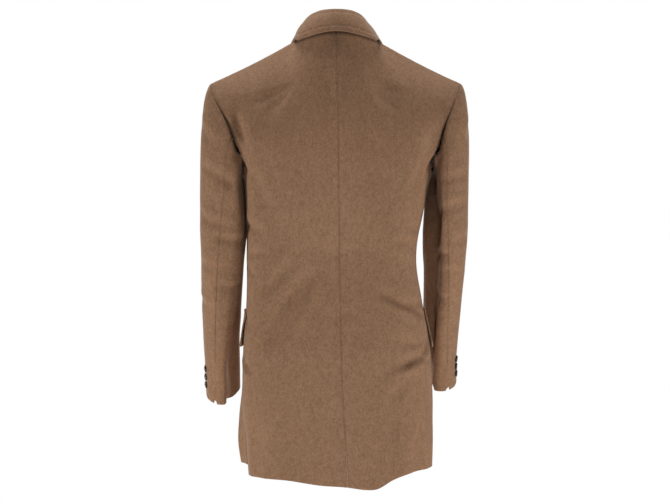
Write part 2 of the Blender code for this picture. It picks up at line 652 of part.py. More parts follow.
def fall_panel(stations, fronts):
    """The turned-down collar: it rolls over the stand and falls to its outer edge."""
    end = COLLAR_FRONT[-1]
    halves = {}
    for side in ("left", "right"):
        columns = [fall_column(top, edge) for _, top, edge in stations[side]]
        line = edge_roll(fronts[side], GORGE, ROLL_TURNS)
        for s in FALL_STEPS:
            line.append(on_collar_ground(fronts[side], GORGE + end.lean * s, end.width * s))
        halves[side] = columns + [line]
    return np.array(halves["right"][:0:-1] + halves["left"]).transpose(1, 0, 2)


def flap_panel(side):
    """A pocket flap, made from the points of the side and front under it, moved out."""
    sign = side_sign(side)
    rows = []
    for t in FLAP_ROWS:
        line = []
        for u in FLAP_STEPS:
            turn = FLAP_TURNS[0] + (FLAP_TURNS[1] - FLAP_TURNS[0]) * u
            near = min(u, 1 - u) / FLAP_ROUNDED
            corner = FLAP_CORNER * (1 - np.sqrt(1 - (1 - min(near, 1)) ** 2)) * t
            z = FLAP_TOP + (FLAP_BOTTOM - FLAP_TOP) * t + corner
            point = torso(z, sign * turn)
            ahead = torso(z, sign * (turn + 1))
            normal = np.cross(ahead - point, (0, 0, sign))
            normal /= np.linalg.norm(normal)
            if normal @ (point - (0, MID_Y, point[2])) < 0:
                normal = -normal
            line.append(point + normal * (CLOTH + LAY_GAP + FLAP_CLEAR + FLAP_LIFT * t * t))
        rows.append(line)
    return np.array(rows)


def share_normals(panels):
    """Where seams meet, every piece gets the same wall direction and depth."""
    places = {}
    for name, (grid, normals) in panels.items():
        rows, columns = grid.shape[:2]
        for i in range(rows):
            for j in range(columns):
                if i in (0, rows - 1) or j in (0, columns - 1):
                    key = tuple(np.round(grid[i, j] / SAME_PLACE + 0.137).astype(int))
                    places.setdefault(key, []).append((name, i, j))
    shared = {name: (grid, normals.copy()) for name, (grid, normals) in panels.items()}
    for found in places.values():
        if len({name for name, _, _ in found}) < 2:
            continue
        mean = sum(panels[name][1][i, j] for name, i, j in found)
        mean /= np.linalg.norm(mean)
        lean = np.mean([max(mean @ panels[name][1][i, j], 0.5) for name, i, j in found])
        for name, i, j in found:
            shared[name][1][i, j] = mean / lean
    return shared


def drawn_in(grid, gap):
    """The grid with each edge moved in by half a seam gap."""
    grid = grid.copy()
    for axis in (0, 1):
        lines = np.moveaxis(grid, axis, 0)
        for edge, inner in ((0, 1), (-1, -2)):
            way = lines[inner] - lines[edge]
            way /= np.linalg.norm(way, axis=1, keepdims=True)
            lines[edge] = lines[edge] + way * gap
    return grid


def material(name, colour, roughness):
    mat = bpy.data.materials.new(name)
    mat.use_nodes = True
    shader = mat.node_tree.nodes["Principled BSDF"]
    shader.inputs["Base Color"].default_value = colour
    shader.inputs["Roughness"].default_value = roughness
    shader.inputs["Metallic"].default_value = 0.0
    return mat


def wall(name, grid, depth, colour, collection):
    """A closed wall of cloth between a grid and its copy one cloth thickness in."""
    outer = drawn_in(grid, SEAM_GAP / 2)
    inner = drawn_in(grid - depth * CLOTH, SEAM_GAP / 2)
    rows, columns = grid.shape[:2]
    points = np.concatenate([outer.reshape(-1, 3), inner.reshape(-1, 3)])
    index = np.arange(rows * columns).reshape(rows, columns)
    low = rows * columns
    corners = (index[:-1, :-1], index[:-1, 1:], index[1:, 1:], index[1:, :-1])
    quads = np.stack(corners, axis=-1).reshape(-1, 4)
    faces = quads.tolist() + (quads[:, ::-1] + low).tolist()
    rim = np.concatenate([index[0], index[1:, -1], index[-1, -2::-1], index[-2:0:-1, 0]])
    heights = grid.reshape(-1, 3) @ RIM_WAY
    for a, b in zip(rim.tolist(), np.roll(rim, -1).tolist()):
        if heights[a] > heights[b]:
            faces += [[b, a, b + low], [a, a + low, b + low]]
        else:
            faces += [[b, a, a + low], [b, a + low, b + low]]
    mesh = bpy.data.meshes.new(name)
    mesh.from_pydata(points.tolist(), [], faces)
    shape = bmesh.new()
    shape.from_mesh(mesh)
    bmesh.ops.recalc_face_normals(shape, faces=shape.faces)
    if shape.calc_volume(signed=True) < 0:
        bmesh.ops.reverse_faces(shape, faces=shape.faces)
    shape.to_mesh(mesh)
    shape.free()
    return add_object(name, mesh, material(name + "_cloth", colour, 0.9), collection)


def add_object(name, mesh, mat, collection):
    mesh.materials.append(mat)
    mesh.shade_smooth()
    mesh.set_sharp_from_angle(angle=radians(40))
    obj = bpy.data.objects.new(name, mesh)
    collection.objects.link(obj)
    return obj


def button(name, radius, steps, place, facing, collection):
    """A turned button with a raised rim, its flat back on the cloth."""
    tall = radius * 0.34
    profile = ((0.0, tall * 0.55), (0.62 * radius, tall * 0.6), (0.78 * radius, tall),
               (0.94 * radius, tall * 0.9), (radius, tall * 0.45), (0.86 * radius, 0.0),
               (0.0, 0.0))
    mesh = bpy.data.meshes.new(name)
    edges = [(k, k + 1) for k in range(len(profile) - 1)]
    mesh.from_pydata([(x, 0.0, z) for x, z in profile], edges, [])
    obj = add_object(name, mesh, material(name + "_horn", HORN, 0.35), collection)
    turned = obj.modifiers.new("Turned", "SCREW")
    turned.steps = steps
    turned.render_steps = steps
    turned.use_merge_vertices = True
    turned.merge_threshold = 0.0001
    turned.use_smooth_shade = True
    obj.location = place + facing * BUTTON_LIFT
    obj.rotation_mode = "QUATERNION"
    obj.rotation_quaternion = Vector(facing).to_track_quat("Z", "Y")
    return obj


def on_front(grid, x, z):
    """(place, facing) on a front's outer facets, looking in from the front."""
    best = None
    for i in range(grid.shape[0] - 1):
        for j in range(grid.shape[1] - 1):
            near, next_, past, over = grid[i, j], grid[i, j + 1], grid[i + 1, j + 1], grid[i + 1, j]
            splits = (near, next_, past), (near, past, over), (next_, past, over), (near, next_, over)
            for a, b, c in splits:
                sides = np.array([[b[0] - a[0], c[0] - a[0]], [b[2] - a[2], c[2] - a[2]]])
                u, v = np.linalg.solve(sides, np.array([x - a[0], z - a[2]]))
                if min(u, v) < -1e-6 or u + v > 1 + 1e-6:
                    continue
                place = a + u * (b - a) + v * (c - a)
                if best is None or place[1] < best[0][1]:
                    normal = np.cross(b - a, c - a)
                    best = place, normal * -np.sign(normal[1])
    place, normal = best
    return place, normal / np.linalg.norm(normal)


def on_sleeve(grid, row, column):
    """(place, facing) on a sleeve at a fractional row and column of its rings."""
    i, j = int(row), int(column)
    a, b = row - i, column - j
    near, far = grid[i] * (1 - a) + grid[i + 1] * a, grid[i + 1] - grid[i]
    place = near[j] * (1 - b) + near[j + 1] * b
    normal = np.cross(near[j + 1] - near[j], far[j])
    if normal @ (place - near.mean(axis=0)) < 0:
        normal = -normal
    return place, normal / np.linalg.norm(normal)


def buttons(fronts, sleeves, collection):
    """Six buttons on the fronts, and a row of small ones up each cuff by its vent."""
    for number, spot in enumerate(FRONT_BUTTONS, 1):
        side = "left" if spot.x > FRONT_EDGE else "right"
        place, facing = on_front(fronts[side].whole, spot.x, spot.z)
        button(f"button_front_{number}", FRONT_BUTTON, 18, place, facing, collection)
    for side, grid in sleeves.items():
        for number in range(CUFF_BUTTONS):
            row = len(grid) - 1 - CUFF_BUTTON_ROWS[0] - CUFF_BUTTON_ROWS[1] * number
            place, facing = on_sleeve(grid, row, CUFF_BUTTON_COLUMN)
            button(f"cuff_button_{side}_{number + 1}", CUFF_BUTTON, 12, place, facing, collection)


def main():
    for obj in list(bpy.data.objects):
        bpy.data.objects.remove(obj, do_unlink=True)
    blazer = bpy.data.collections.new("double_breasted_blazer")
    bpy.context.scene.collection.children.link(blazer)

    panels = {}
    centres = {}
    sleeves = {}
    fronts = {}
    for side in ("left", "right"):
        for name, grid in (("back_", back_panel(side)), ("side_", side_panel(side)),
                           ("front_", front_panel(side))):
            panels[name + side] = (grid, normals_of(grid, torso_axis(grid)))
        grid, seam = sleeve_grid(side)
        axis = np.broadcast_to(grid.mean(axis=1, keepdims=True), grid.shape)
        around = normals_of(grid, axis)
        sleeves[side] = grid
        panels["top_sleeve_" + side] = (grid[:, :seam + 1], around[:, :seam + 1])
        panels["under_sleeve_" + side] = (grid[:, seam:], around[:, seam:])
        fronts[side] = Front(side)
    stations = {
        side: collar_stations(side, fronts[side])
        for side in ("left", "right")
    }
    stand = stand_panel(stations["left"], stations["right"])
    panels["collar_stand"] = (stand, normals_of(stand, neck_axis(stand)))
    for name, (grid, depth) in share_normals(panels).items():
        wall(name, grid, depth, CAMEL_COLLAR if "collar" in name else CAMEL, blazer)
    fall = fall_panel(stations, fronts)
    wall("collar_fall", fall, normals_of(fall, neck_axis(fall)), CAMEL_COLLAR, blazer)
    for side in ("left", "right"):
        lapel = lapel_panel(fronts[side])
        wall("lapel_" + side, lapel, normals_of(lapel, torso_axis(lapel)), CAMEL, blazer)
        flap = flap_panel(side)
        wall("pocket_flap_" + side, flap, normals_of(flap, torso_axis(flap)), CAMEL, blazer)
    buttons(fronts, sleeves, blazer)


main()
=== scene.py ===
# %% [markdown]
# A long double-breasted blazer in camel wool, filled out as if it were worn, with nobody in it.
# Its panels are already cut and placed as solids, in metres, with the neck at the origin and the
# front facing -Y. Here each panel gets its real surface: the soft fall of the cloth, its creases
# and seams, the felted nap and the stitching. The solids are loaded first and never moved.

# %% The cut panels as a fixed frame
import json
import math
from collections import namedtuple

import bmesh
import bpy
import numpy as np
from mathutils import Matrix, Vector
from mathutils.kdtree import KDTree

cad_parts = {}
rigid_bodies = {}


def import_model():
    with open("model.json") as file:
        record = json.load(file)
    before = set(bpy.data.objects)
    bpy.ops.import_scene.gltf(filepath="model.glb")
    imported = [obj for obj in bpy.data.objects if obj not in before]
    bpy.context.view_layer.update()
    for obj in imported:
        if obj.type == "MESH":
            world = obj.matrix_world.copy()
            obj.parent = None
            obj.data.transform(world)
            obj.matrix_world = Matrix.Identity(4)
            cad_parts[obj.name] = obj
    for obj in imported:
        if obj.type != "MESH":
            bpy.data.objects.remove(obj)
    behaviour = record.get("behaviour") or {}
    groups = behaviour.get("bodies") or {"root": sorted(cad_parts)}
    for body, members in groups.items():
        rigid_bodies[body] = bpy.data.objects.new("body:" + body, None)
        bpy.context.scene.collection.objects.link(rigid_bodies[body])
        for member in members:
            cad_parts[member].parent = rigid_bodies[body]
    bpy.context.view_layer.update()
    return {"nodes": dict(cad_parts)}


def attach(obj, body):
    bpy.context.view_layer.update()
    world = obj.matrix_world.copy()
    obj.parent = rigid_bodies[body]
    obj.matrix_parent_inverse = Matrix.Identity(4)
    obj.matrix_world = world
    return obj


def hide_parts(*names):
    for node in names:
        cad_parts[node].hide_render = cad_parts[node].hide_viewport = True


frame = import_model()
panels = frame["nodes"]

# %% [markdown]
# The blazer is seen straight from behind, a little above the waist, through a long lens, so its
# outline hardly spreads. A camera at the right place and with the right lens gives that, and it
# is better than cropping a wide view. Behind it all is plain white.

# %% Camera
VIEW_FROM = (0.0, 2.51, -0.365)
VIEW_LENS, FILM_WIDTH = 73.7, 36.0      # in millimetres

eye = bpy.data.cameras.new("straight_from_behind")
eye.lens = VIEW_LENS
eye.sensor_width = FILM_WIDTH
camera = bpy.data.objects.new("straight_from_behind", eye)
camera.location = VIEW_FROM
camera.rotation_euler = (math.radians(90), 0.0, math.radians(180))
bpy.context.scene.collection.objects.link(camera)
bpy.context.scene.camera = camera
print("camera at", VIEW_FROM)

# %% [markdown]
# A studio for cloth has a soft lamp on each side, one low beside the camera, one above and two in
# front. The side lamps rake over the folds and leave the hollow between sleeve and body dark, the
# low one lets the upper back fall darker, and the top one puts the pale edge on the shoulders. The
# world is white where the eye meets it, and gives far less light than it shows.

# %% White world
WORLD_LIGHT = 0.05
WHITE, WARM_WHITE = (1.0, 1.0, 1.0, 1.0), (1.0, 0.985, 0.965, 1.0)

scene = bpy.context.scene
scene.view_settings.view_transform = "Standard"
scene.view_settings.look = "None"
world = bpy.data.worlds.new("white_studio")
scene.world = world
world.use_nodes = True
sky = world.node_tree
sky.nodes.clear()
seen = sky.nodes.new("ShaderNodeBackground")
seen.inputs["Color"].default_value = WHITE
lit = sky.nodes.new("ShaderNodeBackground")
lit.inputs["Color"].default_value = WARM_WHITE
lit.inputs["Strength"].default_value = WORLD_LIGHT
path = sky.nodes.new("ShaderNodeLightPath")
either = sky.nodes.new("ShaderNodeMixShader")
result = sky.nodes.new("ShaderNodeOutputWorld")
sky.links.new(path.outputs["Is Camera Ray"], either.inputs[0])
sky.links.new(lit.outputs[0], either.inputs[1])
sky.links.new(seen.outputs[0], either.inputs[2])
sky.links.new(either.outputs[0], result.inputs[0])
print("world light", WORLD_LIGHT)

# %% Soft lamps
Lamp = namedtuple("Lamp", "name place aim size watts")
LAMPS = (
    Lamp("left_side_lamp", (2.45, 0.95, -0.95), (0.0, 0.0, -0.45), 0.7, 41.0),
    Lamp("right_side_lamp", (-2.40, 1.10, -0.90), (0.0, 0.0, -0.45), 0.7, 38.0),
    Lamp("low_lamp_by_the_camera", (-0.35, 2.55, -1.25), (0.0, 0.05, -0.45), 0.6, 18.0),
    Lamp("top_soft_lamp", (0.15, -0.22, 1.35), (0.0, 0.0, -0.10), 0.7, 25.0),
    Lamp("front_soft_lamp", (-0.9, -2.6, 0.35), (0.0, -0.05, -0.40), 1.8, 70.0),
    Lamp("low_front_lamp", (1.3, -2.3, -0.70), (0.0, -0.05, -0.45), 1.5, 30.0),
)
for row in LAMPS:
    light = bpy.data.lights.new(row.name, "AREA")
    light.shape = "DISK"
    light.size = row.size
    light.energy = row.watts
    lamp = bpy.data.objects.new(row.name, light)
    lamp.location = row.place
    aim = Vector(row.aim) - Vector(row.place)
    lamp.rotation_euler = aim.to_track_quat("-Z", "Y").to_euler()
    scene.collection.objects.link(lamp)
print("lamps:", len(LAMPS))

# %% [markdown]
# The floor lies far below the blazer, which hangs in the air as on an invisible form. A circle
# filled with one face, with a ring set in along its rim, is all that a plain floor needs.

# %% Pale floor
FLOOR_Z, FLOOR_RADIUS, FLOOR_RING = -1.95, 3.0, 0.4

bpy.ops.object.select_all(action="DESELECT")
bpy.ops.mesh.primitive_circle_add(vertices=96, radius=FLOOR_RADIUS, fill_type="NGON",
                                  location=(0, 0, FLOOR_Z))
floor = bpy.context.object
floor.name = "pale_floor"
bpy.ops.object.mode_set(mode="EDIT")
bpy.ops.mesh.select_all(action="SELECT")
bpy.ops.mesh.inset(thickness=FLOOR_RING)
bpy.ops.object.mode_set(mode="OBJECT")
bpy.ops.object.transform_apply(location=True, rotation=True, scale=True)
print("floor at", FLOOR_Z)

# %% [markdown]
# Every finish below is worked out by nodes. Writing the sums as Python sums keeps them readable:
# a Thread is one value on its way through a finish, and + - and * on it add the Math nodes. All
# other nodes come from one helper, which sets a node up and then fills its sockets. All the
# blazer's finishes end with a shader's colour, roughness and small relief, in one more helper.

# %% Sums on a finish's values
class Thread:
    """One value in a finish. Sums on it add Math nodes."""

    def __init__(self, tree, socket):
        self.tree = tree
        self.socket = socket

    def reckon(self, operation, first, second):
        return knot(self.tree, "ShaderNodeMath", {"operation": operation}, {0: first, 1: second})

    def __add__(self, other):
        return self.reckon("ADD", self, other)

    __radd__ = __add__

    def __sub__(self, other):
        return self.reckon("SUBTRACT", self, other)

    def __rsub__(self, other):
        return self.reckon("SUBTRACT", other, self)

    def __mul__(self, other):
        return self.reckon("MULTIPLY", self, other)

    __rmul__ = __mul__

    def wave(self):
        return self.reckon("SINE", self, 0.0)


print("sums ready, as + - * and a wave")

# %% Nodes
def knot(tree, kind, settings, sockets, out=0):
    """Adds one node, sets it up, fills its sockets and gives back one of its outputs."""
    node = tree.nodes.new(kind)
    for name, value in settings.items():
        setattr(node, name, value)
    for name, value in sockets.items():
        socket = node.inputs[name]
        if isinstance(value, Thread):
            tree.links.new(value.socket, socket)
        else:
            socket.default_value = value
    return Thread(tree, node.outputs[out])


def band(tree, value, low, high, first=0.0, last=1.0):
    """A value brought from low..high to first..last, and held there."""
    return knot(tree, "ShaderNodeMapRange", {"interpolation_type": "SMOOTHSTEP"},
                {0: value, 1: low, 2: high, 3: first, 4: last})


def blend_colours(tree, share, one, other):
    """One colour where the share is 0, the other where it is 1."""
    return knot(tree, "ShaderNodeMix", {"data_type": "RGBA"}, {0: share, 6: one, 7: other}, 2)


print("nodes: knot, band and blend_colours")

# %% Places, patches and the end of every finish
def carried(tree, measure):
    """A measure that the cloth's points carry."""
    return knot(tree, "ShaderNodeAttribute", {"attribute_name": measure}, {}, 2)


def here(tree):
    """The place on the piece, in metres."""
    return knot(tree, "ShaderNodeTexCoord", {}, {}, 3)


def clouds(tree, size, stretch=1.0, detail=2.0, roughness=0.5, distortion=0.0):
    """Soft uneven patches of a size in metres, longer in height where stretch is above 1."""
    place = knot(tree, "ShaderNodeMapping", {}, {"Vector": here(tree), "Scale": (1.0, 1.0, 1.0 / stretch)})
    return knot(tree, "ShaderNodeTexNoise", {},
                {"Vector": place, "Scale": 1.0 / size, "Detail": detail, "Roughness": roughness,
                 "Distortion": distortion})


def new_finish(name):
    """An empty finish with its shader."""
    finish = bpy.data.materials.new(name)
    finish.use_nodes = True
    tree = finish.node_tree
    return finish, tree, tree.nodes["Principled BSDF"]


def lay_on(tree, shader, colour, rough, strength, depth, height):
    """Gives a shader its colour, its roughness and a relief of some strength and depth."""
    bump = knot(tree, "ShaderNodeBump", {}, {"Strength": strength, "Distance": depth, "Height": height})
    tree.links.new(colour.socket, shader.inputs["Base Color"])
    tree.links.new(rough.socket, shader.inputs["Roughness"])
    tree.links.new(bump.socket, shader.inputs["Normal"])


print("helpers for finishes are ready")

# %% [markdown]
# The cloth is a felted wool coating. Close up it is a mat of short fibres, lying downwards, and
# from a step away it is slightly mottled. It has no shine, only a faint bloom at its edges.
# Four sizes of soft patches mix a darker and a paler camel, the finest two also lift the nap, and
# the bloom is the shader's own sheen. A seam gets a thin dark line, partly the joint itself and
# partly painted shade, with a haze of painted shade beside it where the cloth turns in. The hand
# stitching beside an edge shows as a row of small dimples, darkened with painted shade. Both read
# measures that each panel carries: how far a point is from a seam, or from a stitched edge, and how
# far along it. One more measure says where little light gets in, and there shade is painted into
# the colour. Two small stains on the back are soft round spots.

# %% Nap of the wool
CAMEL_DARK = (0.212, 0.112, 0.060, 1.0)
CAMEL_PALE = (0.338, 0.195, 0.115, 1.0)
# a dark brown that cloth is blended towards: painted shade at seams, stitch dimples, hollows and armholes,
# the colour of the two stains, and the collar's slightly darker tone
SHADE_AND_STAIN_BROWN = (0.045, 0.022, 0.012, 1.0)
Patch = namedtuple("Patch", "size stretch detail roughness distortion weight")
PATCHES = {
    "drift": Patch(0.16, 1.6, 2.0, 0.5, 0.0, 0.22),
    "mottle": Patch(0.009, 1.5, 3.0, 0.6, 0.4, 0.55),
    "felt": Patch(0.0034, 1.3, 3.0, 0.7, 0.6, 1.45),
    "fibre": Patch(0.0010, 2.2, 2.0, 0.6, 0.0, 1.0),
}


def wool_nap(tree):
    """How pale the wool is at each point, about 0.5, and how high its nap stands."""
    patches = {name: clouds(tree, *row[:5]) for name, row in PATCHES.items()}
    pale = 0.5
    for name, row in PATCHES.items():
        pale = pale + (patches[name] - 0.5) * row.weight
    return pale, patches["felt"] * 0.6 + patches["fibre"] * 0.4


print("patches of the wool:", list(PATCHES))

# %% Seams, stitches and stains
# A seam's dark line is partly the joint and partly painted shade; its haze and the stitch dimples are
# painted shade.
LINE_BREADTH, LINE_DARK = 0.0010, 0.22      # a seam's dark line
HAZE_BREADTH, HAZE_DARK = 0.0040, 0.10      # the haze beside it
STITCH_PITCH, STITCH_DARK = 0.0066, 0.50
Spot = namedtuple("Spot", "x y z radius depth")
ONTO_BACK = (1.0, 0.1, 1.0)     # a spot is a spot as seen from the back, so its depth counts for less
SPOTS = (Spot(-0.0298, 0.111, -0.211, 0.0017, 0.75), Spot(0.0175, 0.108, -0.744, 0.0040, 0.22))


def near_seam(tree, breadth):
    """1 on a seam, falling to 0 a breadth away."""
    return band(tree, carried(tree, "seam"), 0.0, breadth, 1.0, 0.0)


def pick_stitches(tree, inset):
    """1 in the dimples of the hand stitching, at an inset from a stitched edge, where shade is painted in.
    """
    off = knot(tree, "ShaderNodeMath", {"operation": "ABSOLUTE"}, {0: carried(tree, "edge") - inset})
    along = carried(tree, "run") * (2 * math.pi / STITCH_PITCH)
    return band(tree, off, 0.0003, 0.0011, 1.0, 0.0) * band(tree, along.wave(), 0.05, 0.65)


def spots(tree):
    """The darkness of each stain."""
    place = knot(tree, "ShaderNodeVectorMath", {"operation": "MULTIPLY"}, {0: here(tree), 1: ONTO_BACK})
    for spot in SPOTS:
        away = knot(tree, "ShaderNodeVectorMath", {"operation": "DISTANCE"},
                    {0: place, 1: (spot.x, spot.y * ONTO_BACK[1], spot.z)}, 1)
        yield band(tree, away, spot.radius * 0.4, spot.radius, spot.depth, 0.0)


print("stains:", len(SPOTS), "stitches each", STITCH_PITCH * 1000, "mm")

# %% Wool on the body and on the collar
def wool(name, shade, inset, smooth):
    """Felted camel wool: its shade, how far in its stitching lies, and how smooth it is pressed."""
    finish, tree, shader = new_finish(name)
    pale, nap = wool_nap(tree)
    colour = blend_colours(tree, band(tree, pale, 0.05, 0.95), CAMEL_DARK, CAMEL_PALE)
    stitches = pick_stitches(tree, inset)
    # Painted shade at the seams, stitch dimples and hollows, and the real stains, all blend the wool
    # towards one dark brown.
    shade_and_stains = (near_seam(tree, LINE_BREADTH) * LINE_DARK + near_seam(tree, HAZE_BREADTH) * HAZE_DARK
              + stitches * STITCH_DARK + carried(tree, "hollow"))
    for stain in spots(tree):
        shade_and_stains = shade_and_stains + stain
    colour = blend_colours(tree, shade_and_stains, colour, SHADE_AND_STAIN_BROWN)
    colour = blend_colours(tree, 1.0 - shade, colour, SHADE_AND_STAIN_BROWN)
    height = nap * (1.0 - smooth) - stitches * 1.6 - near_seam(tree, 0.0012) * 1.2
    lay_on(tree, shader, colour, 0.97 - pale * 0.10, 0.55, 0.0006, height)
    shader.inputs["Sheen Weight"].default_value = 0.13
    shader.inputs["Sheen Roughness"].default_value = 0.45
    shader.inputs["Sheen Tint"].default_value = (1.0, 0.86, 0.72, 1.0)
    shader.inputs["Specular IOR Level"].default_value = 0.18
    return finish


BODY_INSET, COLLAR_INSET = 0.0065, 0.0115
camel_wool = wool("felted_camel_wool", 1.0, BODY_INSET, 0.0)
collar_wool = wool("pressed_collar_wool", 0.97, COLLAR_INSET, 0.25)
print("wool finishes:", camel_wool.name, collar_wool.name)

# %% [markdown]
# The floor is a painted board, pale and dull so that it throws no hard light back at the cloth.
# Two near whites in large soft patches keep it from looking like bare plastic.

# %% Floor paint
FLOOR_DARK = (0.78, 0.78, 0.7722, 1.0)
FLOOR_PALE = (0.81, 0.81, 0.80, 1.0)

paint, paint_tree, paint_shader = new_finish("pale_floor_paint")
paint_tone = blend_colours(paint_tree, clouds(paint_tree, 0.6), FLOOR_DARK, FLOOR_PALE)
paint_tree.links.new(paint_tone.socket, paint_shader.inputs["Base Color"])
paint_shader.inputs["Roughness"].default_value = 0.9
floor.data.materials.append(paint)
print("floor finish:", paint.name)

# %% [markdown]
# Inside, a blazer is lined with a smooth satin that slides over a shirt. It shows only through
# the neck, the cuffs, the vents and the hem. It is paler and greyer than the wool, with a fine
# twill and a soft gloss, so it gets its own finish with lower roughness and long faint streaks.
# At the armhole seams shade is painted into its colour, where it would otherwise glint through a tight
# fold.

# %% Lining
LINING_DARK = (0.235, 0.185, 0.140, 1.0)
LINING_PALE = (0.330, 0.270, 0.210, 1.0)
TWILL_PER_METRE = 190.0


def satin(name):
    """The lining's twill satin."""
    finish, tree, shader = new_finish(name)
    streak = clouds(tree, 0.010, 7.0, 2.0)
    ripple = clouds(tree, 0.055, 2.0)
    twill = knot(tree, "ShaderNodeTexWave", {"bands_direction": "DIAGONAL"},
                 {"Vector": here(tree), "Scale": TWILL_PER_METRE, "Distortion": 0.6, "Detail": 1.0}, 1)
    pale = streak * 0.5 + ripple * 0.35 + twill * 0.15
    colour = blend_colours(tree, band(tree, pale, 0.2, 0.8), LINING_DARK, LINING_PALE)
    # painted shade along the armhole seams
    painted_armhole_shade = band(tree, carried(tree, "armhole"), 0.03, 0.40, 0.0, 0.96)
    colour = blend_colours(tree, painted_armhole_shade, colour, SHADE_AND_STAIN_BROWN)
    lay_on(tree, shader, colour, 0.36 + streak * 0.22, 0.3, 0.0004, twill * 0.4 + ripple)
    shader.inputs["Sheen Weight"].default_value = 0.1
    return finish


lining = satin("satin_lining")
print("lining finish:", lining.name)

# %% [markdown]
# Each cloth panel was cut as a thin closed wall with two faces, back to back, and a narrow rim.
# Cloth is easier to shape as a single sheet, so the sheet is taken off the wall's outside. The
# rim's faces are those with a short edge that runs through the wall. Without them the wall falls
# apart into its two sides, and the outer one faces away from the middle of body, sleeve or neck.

# %% The middle of a sleeve
Middle = namedtuple("Middle", "z left right y")
SLEEVE_MIDDLE = (
    Middle(-0.637, 0.2115, -0.2005, -0.112), Middle(-0.552, 0.2108, -0.1985, -0.075),
    Middle(-0.460, 0.2100, -0.1985, -0.037), Middle(-0.412, 0.2088, -0.1995, -0.020),
    Middle(-0.365, 0.2075, -0.2010, -0.007), Middle(-0.318, 0.2070, -0.2040, -0.002),
    Middle(-0.270, 0.2065, -0.2060, 0.000), Middle(-0.140, 0.1950, -0.1950, 0.003),
    Middle(-0.060, 0.1750, -0.1750, 0.003),
)
COLLAR_MIDDLE = -0.003
TRUNK_SPREAD, TRUNK_MIDDLE = 0.35, 0.01     # the trunk is wide, so out of it is mostly to front or back


def side_of(name):
    """Left or right, the last word of a panel's name."""
    return name.split("_")[-1]


def sleeve_middle(points, side):
    """The sleeve's middle at each point's height, as x and y."""
    heights = [row.z for row in SLEEVE_MIDDLE]
    across = [getattr(row, side) for row in SLEEVE_MIDDLE]
    return (np.interp(points[:, 2], heights, across),
            np.interp(points[:, 2], heights, [row.y for row in SLEEVE_MIDDLE]))


def outward(name, points):
    """Which way is out of the garment at each point of a panel."""
    if "sleeve" in name:
        x, y = sleeve_middle(points, side_of(name))
    elif "collar" in name:
        x, y = np.full(len(points), COLLAR_MIDDLE), np.full(len(points), 0.0)
    else:
        x, y = points[:, 0] * TRUNK_SPREAD, np.full(len(points), TRUNK_MIDDLE)
    out = np.stack([points[:, 0] - x, points[:, 1] - y, np.zeros(len(points))], axis=1)
    if name == "collar_fall":
        out[:, 2] = 0.02
    return out / np.linalg.norm(out, axis=1)[:, None]


print("sleeve rows:", len(SLEEVE_MIDDLE))

# %% The two sides of a wall
WALL = 0.0022
SHORTEST_CROSSING = 0.0012
FOLD = math.radians(60)
Crossing = namedtuple("Crossing", "longest lean")
CROSSINGS = {"lapel": Crossing(0.0030, 0.4), "collar": Crossing(0.0030, 0.4)}
OTHER_CROSSING = Crossing(0.0050, 0.2)


def crosses(edge, rule):
    """True for a short edge that runs through the wall, from one side to the other."""
    length = edge.calc_length()
    if not SHORTEST_CROSSING < length < rule.longest:
        return False
    one, other = edge.verts
    way = (other.co - one.co) / length
    return -way.dot(one.normal) > rule.lean and way.dot(other.normal) > rule.lean


def sides_of_wall(mesh, name):
    """The two sides of a panel's wall, each a set of its faces. The rim is left out."""
    rule = CROSSINGS.get(name.split("_")[0], OTHER_CROSSING)
    rim = {face for edge in mesh.edges if crosses(edge, rule) for face in edge.link_faces}
    left = set(mesh.faces) - rim
    sides = []
    while left:
        side, fresh = set(), [left.pop()]
        while fresh:
            face = fresh.pop()
            side.add(face)
            for edge in face.edges:
                if edge.calc_face_angle() < FOLD:
                    for other in edge.link_faces:
                        if other in left:
                            left.discard(other)
                            fresh.append(other)
        sides.append(side)
    return sorted(sides, key=len)[-2:]


print("a wall is", WALL * 1000, "mm thick")

# %% The outer sheet of a panel
FLAT = math.radians(70)


def select_only(*pieces):
    """Selects some pieces and nothing else. The first one is the active one."""
    bpy.ops.object.select_all(action="DESELECT")
    for piece in pieces:
        piece.select_set(True)
    bpy.context.view_layer.objects.active = pieces[0]


def outer_sheet(name):
    """A new piece: the outside of one panel, as one open sheet of four-sided faces."""
    mesh = bmesh.new()
    mesh.from_mesh(panels[name].data)
    bmesh.ops.remove_doubles(mesh, verts=mesh.verts, dist=1e-6)
    mesh.normal_update()
    sides = sides_of_wall(mesh, name)
    facing = []
    for side in sides:
        middles = np.array([face.calc_center_median() for face in side])
        normals = np.array([face.normal * face.calc_area() for face in side])
        facing.append(float(np.sum(outward(name, middles) * normals)))
    keep = set(sides[int(np.argmax(facing))])
    bmesh.ops.delete(mesh, geom=[face for face in mesh.faces if face not in keep], context="FACES")
    data = bpy.data.meshes.new(name + "_cloth")
    mesh.to_mesh(data)
    mesh.free()
    sheet = bpy.data.objects.new(name + "_cloth", data)
    scene.collection.objects.link(sheet)
    select_only(sheet)
    bpy.ops.object.mode_set(mode="EDIT")
    bpy.ops.mesh.select_all(action="SELECT")
    bpy.ops.mesh.tris_convert_to_quads(face_threshold=FLAT, shape_threshold=FLAT)
    bpy.ops.object.mode_set(mode="OBJECT")
    return sheet


print("panels to be taken off:", sum("button" not in name for name in panels))

# %% Points of a sheet
def rows_of(points, key):
    """Points or directions as rows of x, y and z."""
    flat = np.empty(len(points) * 3)
    points.foreach_get(key, flat)
    return flat.reshape(-1, 3)


def places(piece):
    """A piece's points."""
    return rows_of(piece.data.vertices, "co")


def facings(piece):
    """Which way a piece's surface faces at each of its points."""
    return rows_of(piece.data.vertex_normals, "vector")


def put(piece, points):
    """Moves a piece's points."""
    piece.data.vertices.foreach_set("co", np.ascontiguousarray(points, dtype=np.float64).ravel())
    piece.data.update()


